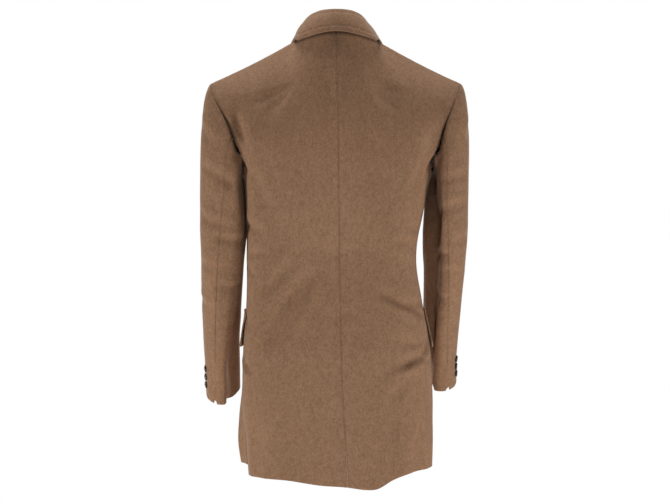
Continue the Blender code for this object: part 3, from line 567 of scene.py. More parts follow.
cloth = {name: outer_sheet(name) for name in panels if "button" not in name}
for name, sheet in cloth.items():
    print(name, "faces:", len(sheet.data.polygons),
          "of four sides:", sum(len(face.vertices) == 4 for face in sheet.data.polygons))

# %% [markdown]
# The sheets still have the panels' few large faces. A subdivision surface rounds them, but it
# also pulls a form inwards, which would make the sleeves too thin. So the coarse points are
# first moved out by what the smooth sheet misses them by, a few times over, until the smooth
# cloth passes through the places where the panel was cut.

# %% Smooth sheets
COARSE, FINE, FINE_LAPEL = 2, 3, 2      # how often the faces are split
PASSES = 3


def smooth_sheet(name, sheet):
    """Rounds a sheet without shrinking it."""
    finer = sheet.modifiers.new("finer", "SUBSURF")
    finer.boundary_smooth = "PRESERVE_CORNERS"
    finer.levels = finer.render_levels = COARSE
    aim = places(sheet)
    coarse = aim.copy()
    for _ in range(PASSES):
        shown = sheet.evaluated_get(bpy.context.evaluated_depsgraph_get()).data
        coarse += aim - rows_of(shown.vertices, "co")[:len(aim)]
        put(sheet, coarse)
    finer.levels = finer.render_levels = FINE_LAPEL if "lapel" in name else FINE
    select_only(sheet)
    bpy.ops.object.modifier_apply(modifier="finer")
    return len(sheet.data.polygons)


faces = [smooth_sheet(name, sheet) for name, sheet in cloth.items()]
print("faces after rounding:", sum(faces))

# %% [markdown]
# The edges of the sheets are needed twice: the sleeves are held still at the armholes while the
# rest of their cloth moves, and later the panels are sewn together along their edges. So each
# sheet's edge points are listed once, in order, and put in a look-up of nearest points.

# %% Edges of the sheets
SEWN = [name for name in cloth if "lapel" not in name and "pocket" not in name and name != "collar_fall"]
SLEEVES = [name for name in SEWN if "sleeve" in name]
TRUNK = [name for name in SEWN if "sleeve" not in name]


def rim_loop(piece):
    """A sheet's edge points, in order round the sheet."""
    mesh = bmesh.new()
    mesh.from_mesh(piece.data)
    beside = {}
    for edge in mesh.edges:
        if len(edge.link_faces) == 1:
            a, b = (vert.index for vert in edge.verts)
            beside.setdefault(a, []).append(b)
            beside.setdefault(b, []).append(a)
    mesh.free()
    first = min(beside)
    loop, used = [first], {first}
    while True:
        onward = [k for k in beside[loop[-1]] if k not in used]
        if not onward:
            return np.array(loop)
        loop.append(onward[0])
        used.add(onward[0])


def tree_of(points):
    """A look-up of the nearest of some points."""
    tree = KDTree(len(points))
    for k, point in enumerate(points):
        tree.insert(point, k)
    tree.balance()
    return tree


def far_from(tree, points):
    """How far each point is from the nearest one in a look-up."""
    return np.array([tree.find(point)[2] for point in points])


def rims_tree(names):
    """A look-up of the edge points of some sheets, where they lie now."""
    return tree_of(np.concatenate([places(cloth[name])[rims[name]] for name in names]))


rims = {name: rim_loop(sheet) for name, sheet in cloth.items()}
rim_trees = {name: rims_tree([name]) for name in SEWN}
trunk_rims = rims_tree(TRUNK)
print("edge points:", {name: len(rim) for name, rim in rims.items()})

# %% Partners across the seams
SEAM_REACH = 0.0012
ARMHOLE_REACH = 0.0055      # a sleeve's cap is rounder than its armhole, so that seam starts further open
ARMHOLE_LOW = -0.25         # above this height there is no vent that must stay open


def reach(name, other, height):
    """How far apart two edges may be and still be sewn together."""
    if height < ARMHOLE_LOW:
        return SEAM_REACH
    return ARMHOLE_REACH if ("sleeve" in name) != ("sleeve" in other) else 2 * SEAM_REACH


def partners(name):
    """For each edge point of a sheet on a seam, the edge points of other sheets beside it."""
    found = {}
    for k, place in zip(rims[name].tolist(), places(cloth[name])[rims[name]]):
        for other in SEWN:
            if other != name:
                _, near, away = rim_trees[other].find(place)
                if away < reach(name, other, place[2]):
                    found.setdefault(k, []).append((other, int(rims[other][near])))
    return found


seams = {name: partners(name) for name in SEWN}


def from_armhole(points):
    """How far each point of a sleeve is from the edges of the body's panels."""
    return far_from(trunk_rims, points)


for name in SEWN:
    print(name, "edge points:", len(rims[name]), "on seams:", len(seams[name]))

# %% [markdown]
# Cloth that is filled out is never quite even. Where it is pulled it dents, where it has slack
# it drapes in soft troughs with a raised lip on one side, and no two are alike. The creases are
# listed in tables, because a simulation would not put them where this blazer has them.
# On the body a place is given by how far round it is from centre back, + to the wearer's left,
# and its height. On a sleeve it is how far round from its outer side, + to the back. A depth is
# negative in a trough. Neighbouring panels read the same tables, so they agree.

# %% Creases of the body
Crease = namedtuple("Crease", "round0 z0 round1 z1 bow breadth depth lip")


def creases(rows):
    """Creases in metres, from rows in millimetres. The lip is a share of the depth."""
    return [Crease(*[value / 1000 for value in row[:7]], row[7]) for row in rows]


BODY_CREASES = creases((
    # hollows between the shoulder blades and the shoulders
    (145, -75, 95, -120, 10, 30, -3, 0),
    (-120, -60, -75, -110, -8, 28, -2.8, 0),
    (-20, -60, 35, -85, 4, 22, -1, 0),
    # pulls from the back of the armholes
    (196, -150, 168, -235, 6, 7, -2.6, 0.35),
    (176, -120, 160, -190, -4, 5, -1.8, 0.45),
    (-195, -165, -160, -245, -6, 7.5, -2.4, 0.35),
    (-170, -185, -135, -285, 6, 11, -1.6, 0.3),
    (150, -220, 110, -300, 6, 13, -1.4, 0.25),
    # soft drags from the left hip up to the seam
    (36, -395, 112, -515, 6, 13, -2.2, 0.3),
    (75, -375, 140, -450, -5, 11, -1.5, 0.3),
    (60, -470, 125, -560, 8, 12, -1.3, 0.35),
    (20, -440, 70, -520, -6, 10, -1, 0.3),
    # the waist at the left side
    (130, -335, 215, -322, 5, 8.5, -1.8, 0.35),
    (120, -362, 190, -372, -4, 7.5, -1.3, 0.4),
    (150, -412, 225, -398, 4, 8, -1.4, 0.3),
    # dents over the left pocket
    (200, -545, 140, -585, 5, 6, -2, 0.45),
    (170, -500, 215, -470, -4, 9, -1.5, 0.3),
    # the waist and hip at the right side
    (-120, -318, -205, -330, 4, 8, -1.4, 0.35),
    (-105, -352, -185, -358, -4, 9.5, -1.3, 0.3),
    (-70, -430, -205, -486, 7, 8, -2.2, 0.5),
    (-110, -462, -215, -470, -6, 7, -1.6, 0.45),
    (-85, -520, -200, -520, 10, 8.5, -1.4, 0.35),
    (-85, -572, -195, -523, 6, 7, -2.6, 0.55),
    (-110, -590, -75, -660, 5, 11, -1.6, 0.3),
    (-140, -556, -190, -560, 3, 6, -1.2, 0.4),
    # across the small of the back
    (-50, -375, 40, -368, 4, 11, -0.7, 0.3),
    (-45, -470, 30, -482, -4, 12, -0.8, 0.3),
    # flutes of the skirt
    (-128, -670, -132, -800, 4, 15, -2.2, 0.3),
    (-60, -690, -58, -800, 3, 13, -1.3, 0.3),
    (60, -660, 66, -800, 4, 14, -1.3, 0.25),
    (132, -650, 140, -800, -4, 15, -1.8, 0.3),
    (205, -620, 215, -780, 3, 12, -1.6, 0.3),
    (-205, -640, -212, -780, 3, 12, -1.5, 0.3),
    # the left front below the waist
    (330, -400, 262, -352, 6, 10, -2.2, 0.4),
    (350, -430, 275, -405, -5, 8.5, -1.6, 0.4),
    (345, -500, 285, -560, 6, 12, -1.5, 0.3),
    (300, -610, 305, -770, 4, 15, -2.6, 0.3),
    (360, -590, 372, -770, -4, 16, -1.8, 0.25),
    (255, -250, 300, -330, 6, 12, -1.8, 0.35),
    (290, -150, 262, -235, 6, 9, -1.8, 0.4),
    # the right front below the waist
    (-335, -395, -258, -345, 6, 10.5, -2.4, 0.4),
    (-350, -425, -270, -418, 5, 8.5, -1.5, 0.4),
    (-365, -490, -290, -540, 5, 12, -1.6, 0.3),
    (-298, -600, -292, -770, 4, 15, -2.4, 0.3),
    (-372, -580, -360, -770, 4, 16, -1.9, 0.25),
    (-250, -240, -305, -330, 6, 12, -1.6, 0.35),
    (-285, -160, -255, -240, -5, 9, -1.7, 0.4),
))
print("creases of the body:", len(BODY_CREASES))

# %% Creases of the sleeves
SLEEVE_CREASES = {
    "left": creases((
        (10, -128, 60, -190, 5, 9, -1.4, 0.35),
        (30, -210, 95, -262, 6, 8, -1.6, 0.4),
        (20, -292, 100, -330, -5, 7.5, -1.8, 0.45),
        (52, -340, 135, -372, 6, 7, -2.4, 0.5),
        (12, -388, 88, -405, 4, 7, -1.6, 0.45),
        (60, -432, 140, -418, -5, 6.5, -2.2, 0.5),
        (-4, -452, 70, -482, 4, 7.5, -1.5, 0.4),
        (50, -520, 120, -500, 4, 8, -1.5, 0.4),
        (-30, -400, -110, -370, 5, 7.5, -2.2, 0.45),
        (-20, -440, -105, -425, -5, 7, -2, 0.45),
        (-35, -488, -110, -470, 4, 8.5, -1.5, 0.35),
        (-15, -180, -65, -235, 5, 9, -1.4, 0.35),
        (44, -555, 56, -640, 4, 9, -1, 0.25),
    )),
    "right": creases((
        (6, -118, 50, -180, -5, 8.5, -1.3, 0.35),
        (26, -228, 90, -250, 5, 8, -1.4, 0.4),
        (34, -276, 118, -322, 6, 8, -2, 0.45),
        (8, -332, 80, -352, -4, 7, -1.6, 0.4),
        (55, -372, 138, -392, 5, 7, -2.4, 0.5),
        (20, -415, 95, -402, 4, 6.5, -1.5, 0.45),
        (50, -455, 130, -440, -4, 7, -1.8, 0.45),
        (15, -500, 85, -522, 5, 8, -1.3, 0.4),
        (-28, -385, -108, -360, 5, 7.5, -2, 0.45),
        (-22, -425, -112, -418, -5, 7, -2.1, 0.45),
        (-30, -470, -105, -455, 4, 8.5, -1.4, 0.35),
        (-12, -170, -70, -220, 5, 9, -1.3, 0.35),
        (48, -540, 52, -610, -4, 9, -1, 0.25),
    )),
}
print("creases of the sleeves:", {side: len(rows) for side, rows in SLEEVE_CREASES.items()})

# %% [markdown]
# A crease is a bowed line. Its depth falls off softly to both sides, swells a little on the lip's
# side, and dies out towards its ends. On top of all creases the cloth wanders by less than half a
# millimetre, as pressed wool does, which is worked out from a few waves of unlike lengths.

# %% Soft steps and bells
def soft_step(value):
    """0 below 0, 1 above 1 and smooth between."""
    value = np.clip(value, 0.0, 1.0)
    return value * value * (3.0 - 2.0 * value)


def bell(value, middle, breadth):
    """1 at the middle, falling off softly to both sides."""
    return np.exp(-((value - middle) / breadth) ** 2)


print("halfway up a soft step:", soft_step(0.5), "one breadth off a bell:", round(float(bell(1, 0, 1)), 3))

# %% How far the creases move the cloth
LINE_POINTS = 9
DEEPER = 2.5                        # all the tables' depths times this
LIP_AT, LIP_BREADTH = 1.9, 1.1      # in breadths of the trough
UNEVEN = 0.15


def crease_line(crease):
    """The bowed line of a crease, as a few points."""
    start = np.array([crease.round0, crease.z0])
    end = np.array([crease.round1, crease.z1])
    run = end - start
    square = np.array([-run[1], run[0]]) / np.linalg.norm(run)
    middle = (start + end) / 2 + square * crease.bow * 2
    t = np.linspace(0, 1, LINE_POINTS)[:, None]
    return start * (1 - t) ** 2 + middle * 2 * t * (1 - t) + end * t * t


def crease_depth(place, crease):
    """How far one crease moves each place, given as N rows of round and height."""
    line = crease_line(crease)
    steps = len(line) - 1
    far = np.full(len(place), 1.0)
    beside = np.full(len(place), 1.0)
    along = np.zeros(len(place))
    for k in range(steps):
        run = line[k + 1] - line[k]
        t = np.clip((place - line[k]) @ run / (run @ run), 0, 1)
        off = place - line[k] - t[:, None] * run
        length = np.linalg.norm(off, axis=1)
        closer = length < far
        far = np.where(closer, length, far)
        side = (run[0] * off[:, 1] - run[1] * off[:, 0]) / np.linalg.norm(run)
        beside = np.where(closer, side, beside)
        along = np.where(closer, (k + t) / steps, along)
    trough = bell(far, 0, crease.breadth)
    lip = crease.lip * bell(beside / crease.breadth, LIP_AT, LIP_BREADTH)
    uneven = 1 - UNEVEN + UNEVEN * np.sin(11.0 * along + 90.0 * crease.z0)
    ends = soft_step(along / 0.35 + 0.12) * soft_step((1 - along) / 0.45 + 0.08)
    return DEEPER * crease.depth * ends * uneven * (trough - lip)


print("a crease is a line of", LINE_POINTS, "points")

# %% The cloth's own unevenness
Ripple = namedtuple("Ripple", "per_round per_height turn height")
RIPPLES = (Ripple(31.0, 17.0, 0.3, 0.00022), Ripple(-52.0, 38.0, 1.9, 0.00016),
           Ripple(83.0, 66.0, 4.1, 0.00010), Ripple(12.0, -90.0, 2.6, 0.00012),
           Ripple(140.0, 25.0, 5.2, 0.00006))


def wander(place):
    """The cloth's own slight unevenness."""
    out = np.zeros(len(place))
    for row in RIPPLES:
        out += row.height * np.sin(row.per_round * place[:, 0] + row.per_height * place[:, 1] + row.turn)
    return out


# %% [markdown]
# A filled sleeve that hangs beside a body isn't round. Seen from behind it is flat, ends in a
# soft long edge, and past that edge it sinks in, while its side next to the body swells towards
# it. A table of sections by height says where the edge lies, in degrees round from the outer side,
# and how far the cloth sinks, stands out and swells. Close to the armhole nothing moves, and near
# it the cloth is moved level, since moved along its own facing it would fold over there.

# %% Sections of the sleeves
Section = namedtuple("Section", "z edge deep ridge swell")


def sections(rows):
    """Sections in metres, from rows in millimetres and degrees."""
    return [Section(z / 1000, edge, deep / 1000, ridge / 1000, swell / 1000)
            for z, edge, deep, ridge, swell in rows]


SECTIONS = {
    "left": sections((
        (-640, 96, 14, 1, 0), (-585, 99, 21, 1, 0), (-522.5, 114, 21, 3, 2), (-452.5, 125, 17, 6, 8),
        (-400, 131, 10, 12, 9), (-345, 134, 8, 14, 12), (-330, 134, 8, 14, 13.5), (-280, 134, 8, 14, 11),
        (-190, 132, 5, 9, 9), (-140, 130, 0, 3, 0),
    )),
    "right": sections((
        (-640, 120, 6, 1, 0), (-580, 112, 14, 2, 0), (-530, 106, 20, 3, 0), (-455, 99, 22, 3, 0.5),
        (-400, 99, 23, 3, 1.5), (-345, 101, 23, 3, 6), (-330, 101, 23, 3, 7.5), (-280, 103, 22, 3, 8),
        (-190, 106, 13, 2, 7.5), (-140, 125, 0, 0, 0),
    )),
}
print("sections:", {side: len(rows) for side, rows in SECTIONS.items()})

# %% A sleeve's form between its sections
SLEEVE_RADIUS = 0.045                       # a way round a sleeve in metres is its turn times this
SECTION_END = 222.0
EDGE_AT, EDGE_SOFT = -11, 14.0               # degrees from where the sinking starts
INNER_AT, INNER_SOFT = {"left": 190, "right": 212}, 28.0    # where the sleeve touches the body


def degrees_round(place):
    """Degrees round a sleeve from its outer side, + to the back, from -100 to 260."""
    degrees = np.degrees(place[:, 0] / SLEEVE_RADIUS)
    return np.where(degrees < -100, degrees + 360, degrees)


def sleeve_section(place, side):
    """How far a sleeve's cloth stands out from its round form."""
    degrees = degrees_round(place)
    rows = SECTIONS[side]
    edge, deep, ridge, swell = (
        np.interp(place[:, 1], [row.z for row in rows], [getattr(row, key) for row in rows])
        for key in ("edge", "deep", "ridge", "swell"))
    t = np.clip((degrees - edge) / (SECTION_END - edge), 0, 1)
    sunk = np.sin(np.pi * t ** 0.65) ** 1.15
    edged = bell(degrees - edge, EDGE_AT, EDGE_SOFT)
    return -deep * sunk + ridge * edged + swell * bell(degrees, INNER_AT[side], INNER_SOFT)


print("one degree round a sleeve is", round(math.radians(SLEEVE_RADIUS) * 1000, 2), "mm")

# %% [markdown]
# The collar sits on the neck: the two ends of its turned-down part hang a little lower than its
# middle, and its right half leans in towards the neck.

# %% Fit of the collar
Drop = namedtuple("Drop", "y down")
COLLAR_DROP = (Drop(-0.020, 0.0), Drop(0.013, 0.0040), Drop(0.039, 0.0070), Drop(0.0575, 0.0043),
               Drop(0.071, 0.0015), Drop(0.082, 0.0))
DROP_TOP, DROP_RISE = 0.055, 0.035          # above this height nothing drops
COLLAR_NARROW, LEAN_RISE = 0.10, 0.035
LEAN_FROM = {"collar_fall": 0.014, "collar_stand": 0.020}


def fit_collar(name, points):
    """Lowers the fall's ends and leans the collar's right half in."""
    points = points.copy()
    x = points[:, 0] - COLLAR_MIDDLE
    lean = soft_step((points[:, 2] - LEAN_FROM[name]) / LEAN_RISE) * soft_step((points[:, 1] + 0.02) / 0.03)
    if name == "collar_fall":
        drop = np.interp(points[:, 1], [row.y for row in COLLAR_DROP], [row.down for row in COLLAR_DROP])
        points[:, 2] -= drop * soft_step((DROP_TOP - points[:, 2]) / DROP_RISE)
    points[:, 0] -= np.minimum(x, 0.0) * COLLAR_NARROW * lean
    return points


print("the fall's ends drop by up to", max(row.down for row in COLLAR_DROP) * 1000, "mm")

# %% [markdown]
# Now the cloth moves. Each panel reads its own tables, and every point is moved out or in along
# the cloth's facing. The prints say how much a panel moves from its lowest to its highest place.

# %% Round and height
TRUNK_WIDE, TRUNK_DEEP, TRUNK_BACK, TRUNK_ROUND = 0.165, 0.10, 0.02, 0.14


def body_place(points):
    """Round the body from centre back, and height."""
    turn = np.arctan2(points[:, 0] / TRUNK_WIDE, (points[:, 1] - TRUNK_BACK) / TRUNK_DEEP)
    return np.stack([turn * TRUNK_ROUND, points[:, 2]], axis=1)


def sleeve_place(points, side):
    """Round a sleeve from its outer side, + to the back, and height."""
    x, y = sleeve_middle(points, side)
    sign = 1.0 if side == "left" else -1.0
    turn = np.arctan2(points[:, 1] - y, sign * (points[:, 0] - x))
    return np.stack([turn * SLEEVE_RADIUS, points[:, 2]], axis=1)


print("half the way round the body:", round(math.pi * TRUNK_ROUND, 3), "m")

# %% Moving the cloth
ARMHOLE_FADE = 0.024
UNDER_ARMHOLE, UNDER_AT, UNDER_SOFT = 0.0035, 125, 45.0     # a hollow below the armhole's back
UNDER_AWAY, UNDER_BREADTH = 0.010, 0.007
LEVEL_ABOVE, LEVEL_RISE = -0.31, 0.04       # above this height a sleeve's cloth is moved level


def drape(name, points):
    """How far the cloth of a panel moves out at each point."""
    if "collar" in name:
        return wander(body_place(points)) * 0.5
    in_sleeve = "sleeve" in name
    place = sleeve_place(points, side_of(name)) if in_sleeve else body_place(points)
    out = wander(place)
    for crease in SLEEVE_CREASES[side_of(name)] if in_sleeve else BODY_CREASES:
        out += crease_depth(place, crease)
    if not in_sleeve:
        return out
    away = from_armhole(points)
    out += sleeve_section(place, side_of(name))
    back = bell(np.degrees(place[:, 0] / SLEEVE_RADIUS), UNDER_AT, UNDER_SOFT)
    out -= UNDER_ARMHOLE * back * bell(away, UNDER_AWAY, UNDER_BREADTH)
    return out * soft_step(away / ARMHOLE_FADE)


def push_out(name, sheet):
    """Moves a sheet's points along the cloth's own facing."""
    points = places(sheet)
    if "collar" in name:
        points = fit_collar(name, points)
    facing = facings(sheet)
    if "sleeve" in name:
        level = soft_step((points[:, 2] - LEVEL_ABOVE) / LEVEL_RISE)[:, None]
        facing = facing * (1 - level) + outward(name, points) * level
    move = drape(name, points)
    put(sheet, points + facing * move[:, None])
    return float(np.ptp(move)) * 1000


for name, sheet in cloth.items():
    print(name, "creased over", round(push_out(name, sheet), 1), "mm")

# %% [markdown]
# Panels are sewn edge to edge, so at a real seam the two sheets are brought to one line. Which
# edge points belong together was found before the cloth moved, when they still lay side by side.
# All other edge points are free edges, such as the hem and the vents. A sheet gives way to its
# neighbour over a breadth of cloth, as it would be eased under the needle, and not with a jerk.

# %% Closing the seams
SEAM_EASE = 0.012

points_of = {name: places(sheet) for name, sheet in cloth.items()}
on_seam = {name: np.zeros(len(points_of[name]), dtype=bool) for name in cloth}
for name in SEWN:
    points = points_of[name]
    sewn = np.array(sorted(seams[name]))
    on_seam[name][sewn] = True
    met = np.array([np.mean([points[k]] + [points_of[other][m] for other, m in seams[name][k]], axis=0)
                    for k in sewn])
    shift = met - points[sewn]
    line = tree_of(points[sewn])
    near = [line.find(point)[1:] for point in points]
    give = np.array([1.0 - soft_step(away / SEAM_EASE) for _, away in near])
    put(cloth[name], points + shift[[k for k, _ in near]] * give[:, None])
    print(name, "closed by up to", round(float(np.linalg.norm(shift, axis=1).max()) * 1000, 1), "mm")

# %% [markdown]
# A cuff's vent doesn't gape: a strip of the under sleeve goes on beneath the top sleeve, and only
# the lowest centimetre opens as a notch. The strip is no piece of its own, so the under sleeve's
# cloth is stretched on round the sleeve past its edge, and a little inwards to lie underneath.

# %% Underlaps of the cuff vents
UNDERLAP, UNDERLAP_IN, UNDERLAP_ROOT = 0.006, 0.0030, 0.014
NOTCH_LOW, NOTCH, VENT_END = 0.001, 0.014, 0.008    # from the hem up, and down from the vent's top
VENT_BELOW, VENT_BEHIND = -0.53, 0.02               # where on a sleeve the vent lies


def vent_edge(name):
    """The edge points of a sleeve panel along its cuff vent, without the hem."""
    points = places(cloth[name])
    rim = rims[name][~on_seam[name][rims[name]]]
    y = sleeve_middle(points[rim], side_of(name))[1]
    rim = rim[(points[rim, 1] > y + VENT_BEHIND) & (points[rim, 2] < VENT_BELOW)]
    spread = np.abs(np.diff(points[rim, 0], append=points[rim[-1], 0]))
    climb = np.abs(np.diff(points[rim, 2], append=points[rim[-1], 2]))
    return points[rim[climb > spread]]


for side in ("left", "right"):
    name = "under_sleeve_" + side
    points = places(cloth[name])
    under = vent_edge(name)
    under_tree, over_tree = tree_of(under), tree_of(vent_edge("top_sleeve_" + side))
    out = outward(name, points)
    around = np.stack([out[:, 1], -out[:, 0], out[:, 2]], axis=1)
    around *= np.sign(around[:, :1]) * (1.0 if side == "left" else -1.0)
    near = [under_tree.find(point) for point in points]
    height = np.array([found[2] for found, _, _ in near])
    gap = far_from(over_tree, [found for found, _, _ in near])
    root = 1.0 - soft_step(np.array([away for _, _, away in near]) / UNDERLAP_ROOT)
    low, top = under[:, 2].min(), under[:, 2].max()
    shown = soft_step((height - low - NOTCH_LOW) / NOTCH) * soft_step((top - height) / VENT_END)
    amount = (root * shown)[:, None]
    put(cloth[name], points + (around * (gap + UNDERLAP)[:, None] - out * UNDERLAP_IN) * amount)
    print(side, "vent from", round(float(low), 3), "to", round(float(top), 3))

# %% [markdown]
# Where two pieces of cloth lie close, such as under the collar's edge, at the armholes and high up
# between the right sleeve and the body, very little light gets in. The lamps here are few and soft
# and would leave such places too bright, so each point keeps a measure of it and shade is painted
# into the wool's colour there.

# %% Edges that cast the dark lines
SEEN_FROM_BACK = np.array([1.0, 0.0, 1.0])
HOLLOW_TOP, HOLLOW_RUN = -0.085, 0.09       # an armhole's hollow starts here and deepens downwards
BACK_FROM, BACK_RUN = -0.012, 0.030         # and only at the back, from this y on
HOLLOW_BREADTH, UPPER_HOLLOW = 0.0055, 0.25
FALL_BACK = 0.01                            # the fall's back edge lies behind this y

fall_edge = places(cloth["collar_fall"])[rims["collar_fall"]]
fall_edge = fall_edge[fall_edge[:, 1] > FALL_BACK]
fall_rim = tree_of(fall_edge * SEEN_FROM_BACK)
sleeve_edges, trunk_edges = rims_tree(SLEEVES), rims_tree(TRUNK)


def armhole_hollow(name, points):
    """0 to 1: how close to an armhole's seam the cloth is, and how low down at its back."""
    if name.startswith(("collar", "lapel", "pocket")):
        return np.zeros(len(points))
    other = trunk_edges if "sleeve" in name else sleeve_edges
    lower = (soft_step((HOLLOW_TOP - points[:, 2]) / HOLLOW_RUN)
             * soft_step((points[:, 1] - BACK_FROM) / BACK_RUN))
    return bell(far_from(other, points), 0, HOLLOW_BREADTH) * (UPPER_HOLLOW + (1 - UPPER_HOLLOW) * lower)


print("points on the fall's back edge:", len(fall_edge))

# %% Where little light gets in
# All of these are painted shade: the shadow under the collar's edge and its haze, a wedge of shade on the
# right sleeve's inner side, and the shade at the armholes, with the strengths of the last and of the
# collar's shadow.
FALL_SHADOW, FALL_HAZE = 0.0010, 0.0055     # the dark line under the collar's edge, and its haze
WEDGE = {"left": 0.0, "right": 0.55}
WEDGE_FROM, WEDGE_TO = (112, 22), (250, 30)             # degrees round, and how softly it starts and ends
WEDGE_TOP, WEDGE_LOW = (-0.13, 0.05), (-0.36, 0.10)     # the same in height
ARM_DARK, COLLAR_DARK = 0.62, 0.78


def painted_shade_at(name, points, arm):
    """0 to 1: how much shade is painted into the wool, darker than in the open."""
    dark = ARM_DARK * arm
    if name.startswith("back"):
        away = far_from(fall_rim, points * SEEN_FROM_BACK)
        dark = np.maximum(dark, COLLAR_DARK * (1.0 - soft_step((away - FALL_SHADOW) / FALL_HAZE)))
    if "sleeve" in name:
        place = sleeve_place(points, side_of(name))
        degrees = degrees_round(place)
        round_to = (soft_step((degrees - WEDGE_FROM[0]) / WEDGE_FROM[1])
                    * soft_step((WEDGE_TO[0] - degrees) / WEDGE_TO[1]))
        height = (soft_step((WEDGE_TOP[0] - place[:, 1]) / WEDGE_TOP[1])
                  * soft_step((place[:, 1] - WEDGE_LOW[0]) / WEDGE_LOW[1]))
        dark = np.maximum(dark, WEDGE[side_of(name)] * round_to * height)
    return dark


print("darkened by up to", ARM_DARK, "at the armholes and", COLLAR_DARK, "under the collar")

# %% [markdown]
# At a seam the cloth dips, pulled in by its thread, with small uneven puckers along it. Beside an
# edge that is stitched by hand it is drawn in under the stitches and rolls softly beyond them.
# Each point keeps five measures for the finish: its distance from the nearest seam and from a
# stitched edge, its place along that edge, how much shade is painted on it, and how close it lies
# to an armhole.

# %% Seam dips and puckers
DIP, DIP_BREADTH = 0.0006, 0.0021
ARMHOLE_DIP = 0.0022
PUCKER, PUCKER_AT, PUCKER_BREADTH = 0.00045, 0.0065, 0.0032
QUILTED, QUILT_BREADTH = 0.0005, 0.0016
ROLL_AT, ROLL_BREADTH = 0.45, 0.35      # as shares of the way from the edge to the stitches
FAR = 1.0
STITCHED = {"collar_fall": FAR, "lapel_left": FAR, "lapel_right": FAR, "pocket_flap_left": FAR,
            "pocket_flap_right": FAR, "front_left": 0.10, "front_right": 0.10}
FRONT_HEM = -0.735


def pucker(points):
    """Small uneven lifts along a seam."""
    z, x = points[:, 2], points[:, 0]
    return (0.55 + 0.30 * np.sin(z * 610 + 4 * np.sin(z * 95) + x * 400)
            + 0.15 * np.sin(z * 1370 + x * 900 + 1.3))


def stitched_rim(name):
    """Which of the edge points have stitching beside them."""
    points = points_of[name][rims[name]]
    free = ~on_seam[name][rims[name]]
    if name.startswith("front"):
        return free & (np.abs(points[:, 0]) < STITCHED[name]) & (points[:, 2] > FRONT_HEM)
    return free


print("stitched edges:", list(STITCHED))

# %% Measures for the finish
def measures(name):
    """Distance from a seam, from a stitched edge, and the place along that edge."""
    points = places(cloth[name])
    seam, edge, run = np.full(len(points), FAR), np.full(len(points), FAR), np.zeros(len(points))
    rim = rims[name]
    sewn = rim[on_seam[name][rim]]
    if len(sewn):
        seam = far_from(tree_of(points[sewn]), points)
    if name in STITCHED:
        chosen = stitched_rim(name)
        step = np.linalg.norm(np.diff(points[rim], axis=0, append=points[rim][:1]), axis=1)
        length = np.concatenate([[0.0], np.cumsum(step)[:-1]])
        tree = tree_of(points[rim[chosen]])
        found = [tree.find(point)[1:] for point in points]
        edge = np.array([away for _, away in found])
        run = length[chosen][[k for k, _ in found]]
    return seam, edge, run


print("stitches lie", BODY_INSET * 1000, "mm in, on the collar", COLLAR_INSET * 1000, "mm")

# %% Dips and measures on every sheet
for name, sheet in cloth.items():
    seam, edge, run = measures(name)
    points = places(sheet)
    arm = armhole_hollow(name, points)
    inset = COLLAR_INSET if name == "collar_fall" else BODY_INSET
    dip = DIP * bell(seam, 0, DIP_BREADTH) + ARMHOLE_DIP * arm + QUILTED * bell(edge, inset, QUILT_BREADTH)
    swell = (PUCKER * bell(seam, PUCKER_AT, PUCKER_BREADTH) * pucker(points)
             + QUILTED * bell(edge, inset * ROLL_AT, inset * ROLL_BREADTH))
    put(sheet, points + facings(sheet) * (swell - dip)[:, None])
    # The hollow measure is the painted shade; the armhole measure also paints shade on the lining.
    kept = {"seam": seam, "edge": edge, "run": run, "hollow": painted_shade_at(name, points, arm), "armhole": arm}
    for measure, values in kept.items():
        layer = sheet.data.attributes.new(measure, "FLOAT", "POINT")
        layer.data.foreach_set("value", values.astype(np.float32))
print("seams dip by", DIP * 1000, "mm")

# %% [markdown]
# Last, the sheet gets its thickness. Wool coating with its canvas or facing and its lining is a
# little over 2 mm thick, and its edges are pressed and softly rounded. Solidify thickens it
# inwards, so its outside stays where it is, and gives the inside the lining's finish. A small
# bevel rounds the edges.

# %% Sizes of the cut pieces
Cut = namedtuple("Cut", "width length held lies_on", defaults=("hung", ()))
CUTS = {
    "back": Cut(0.225, 0.850),
    "side": Cut(0.110, 0.560),
    "front": Cut(0.340, 0.800),
    "lapel": Cut(0.120, 0.420, "folded", ("front",)),
    "top_sleeve": Cut(0.210, 0.640),
    "under_sleeve": Cut(0.150, 0.560),
    "pocket_flap": Cut(0.165, 0.075, "hung", ("front",)),
    "collar_stand": Cut(0.250, 0.050, "folded"),
    "collar_fall": Cut(0.380, 0.075, "folded"),
}
print("kinds of cut piece:", len(CUTS))

# %% Thick, finished cloth
EDGE_ROUND = 0.0005
EDGE_ANGLE, SMOOTH_ANGLE = math.radians(62), math.radians(50)


def work_in(piece, kind, **settings):
    """Adds a modifier to the active piece, sets it up and applies it."""
    step = piece.modifiers.new(kind.lower(), kind)
    for key, value in settings.items():
        setattr(step, key, value)
    bpy.ops.object.modifier_apply(modifier=step.name)


def thicken(name, sheet):
    """Gives a sheet its thickness, edges and finish."""
    outside = collar_wool if name.startswith("collar") else camel_wool
    unlined = name.startswith(("collar", "lapel", "pocket"))
    sheet.data.materials.append(outside)
    sheet.data.materials.append(outside if unlined else lining)
    select_only(sheet)
    work_in(sheet, "SOLIDIFY", thickness=WALL, offset=-1.0, material_offset=1)
    work_in(sheet, "BEVEL", width=EDGE_ROUND, segments=2, limit_method="ANGLE", angle_limit=EDGE_ANGLE)
    bpy.ops.object.shade_smooth_by_angle(angle=SMOOTH_ANGLE)
    return sum(len(face.vertices) - 2 for face in sheet.data.polygons)


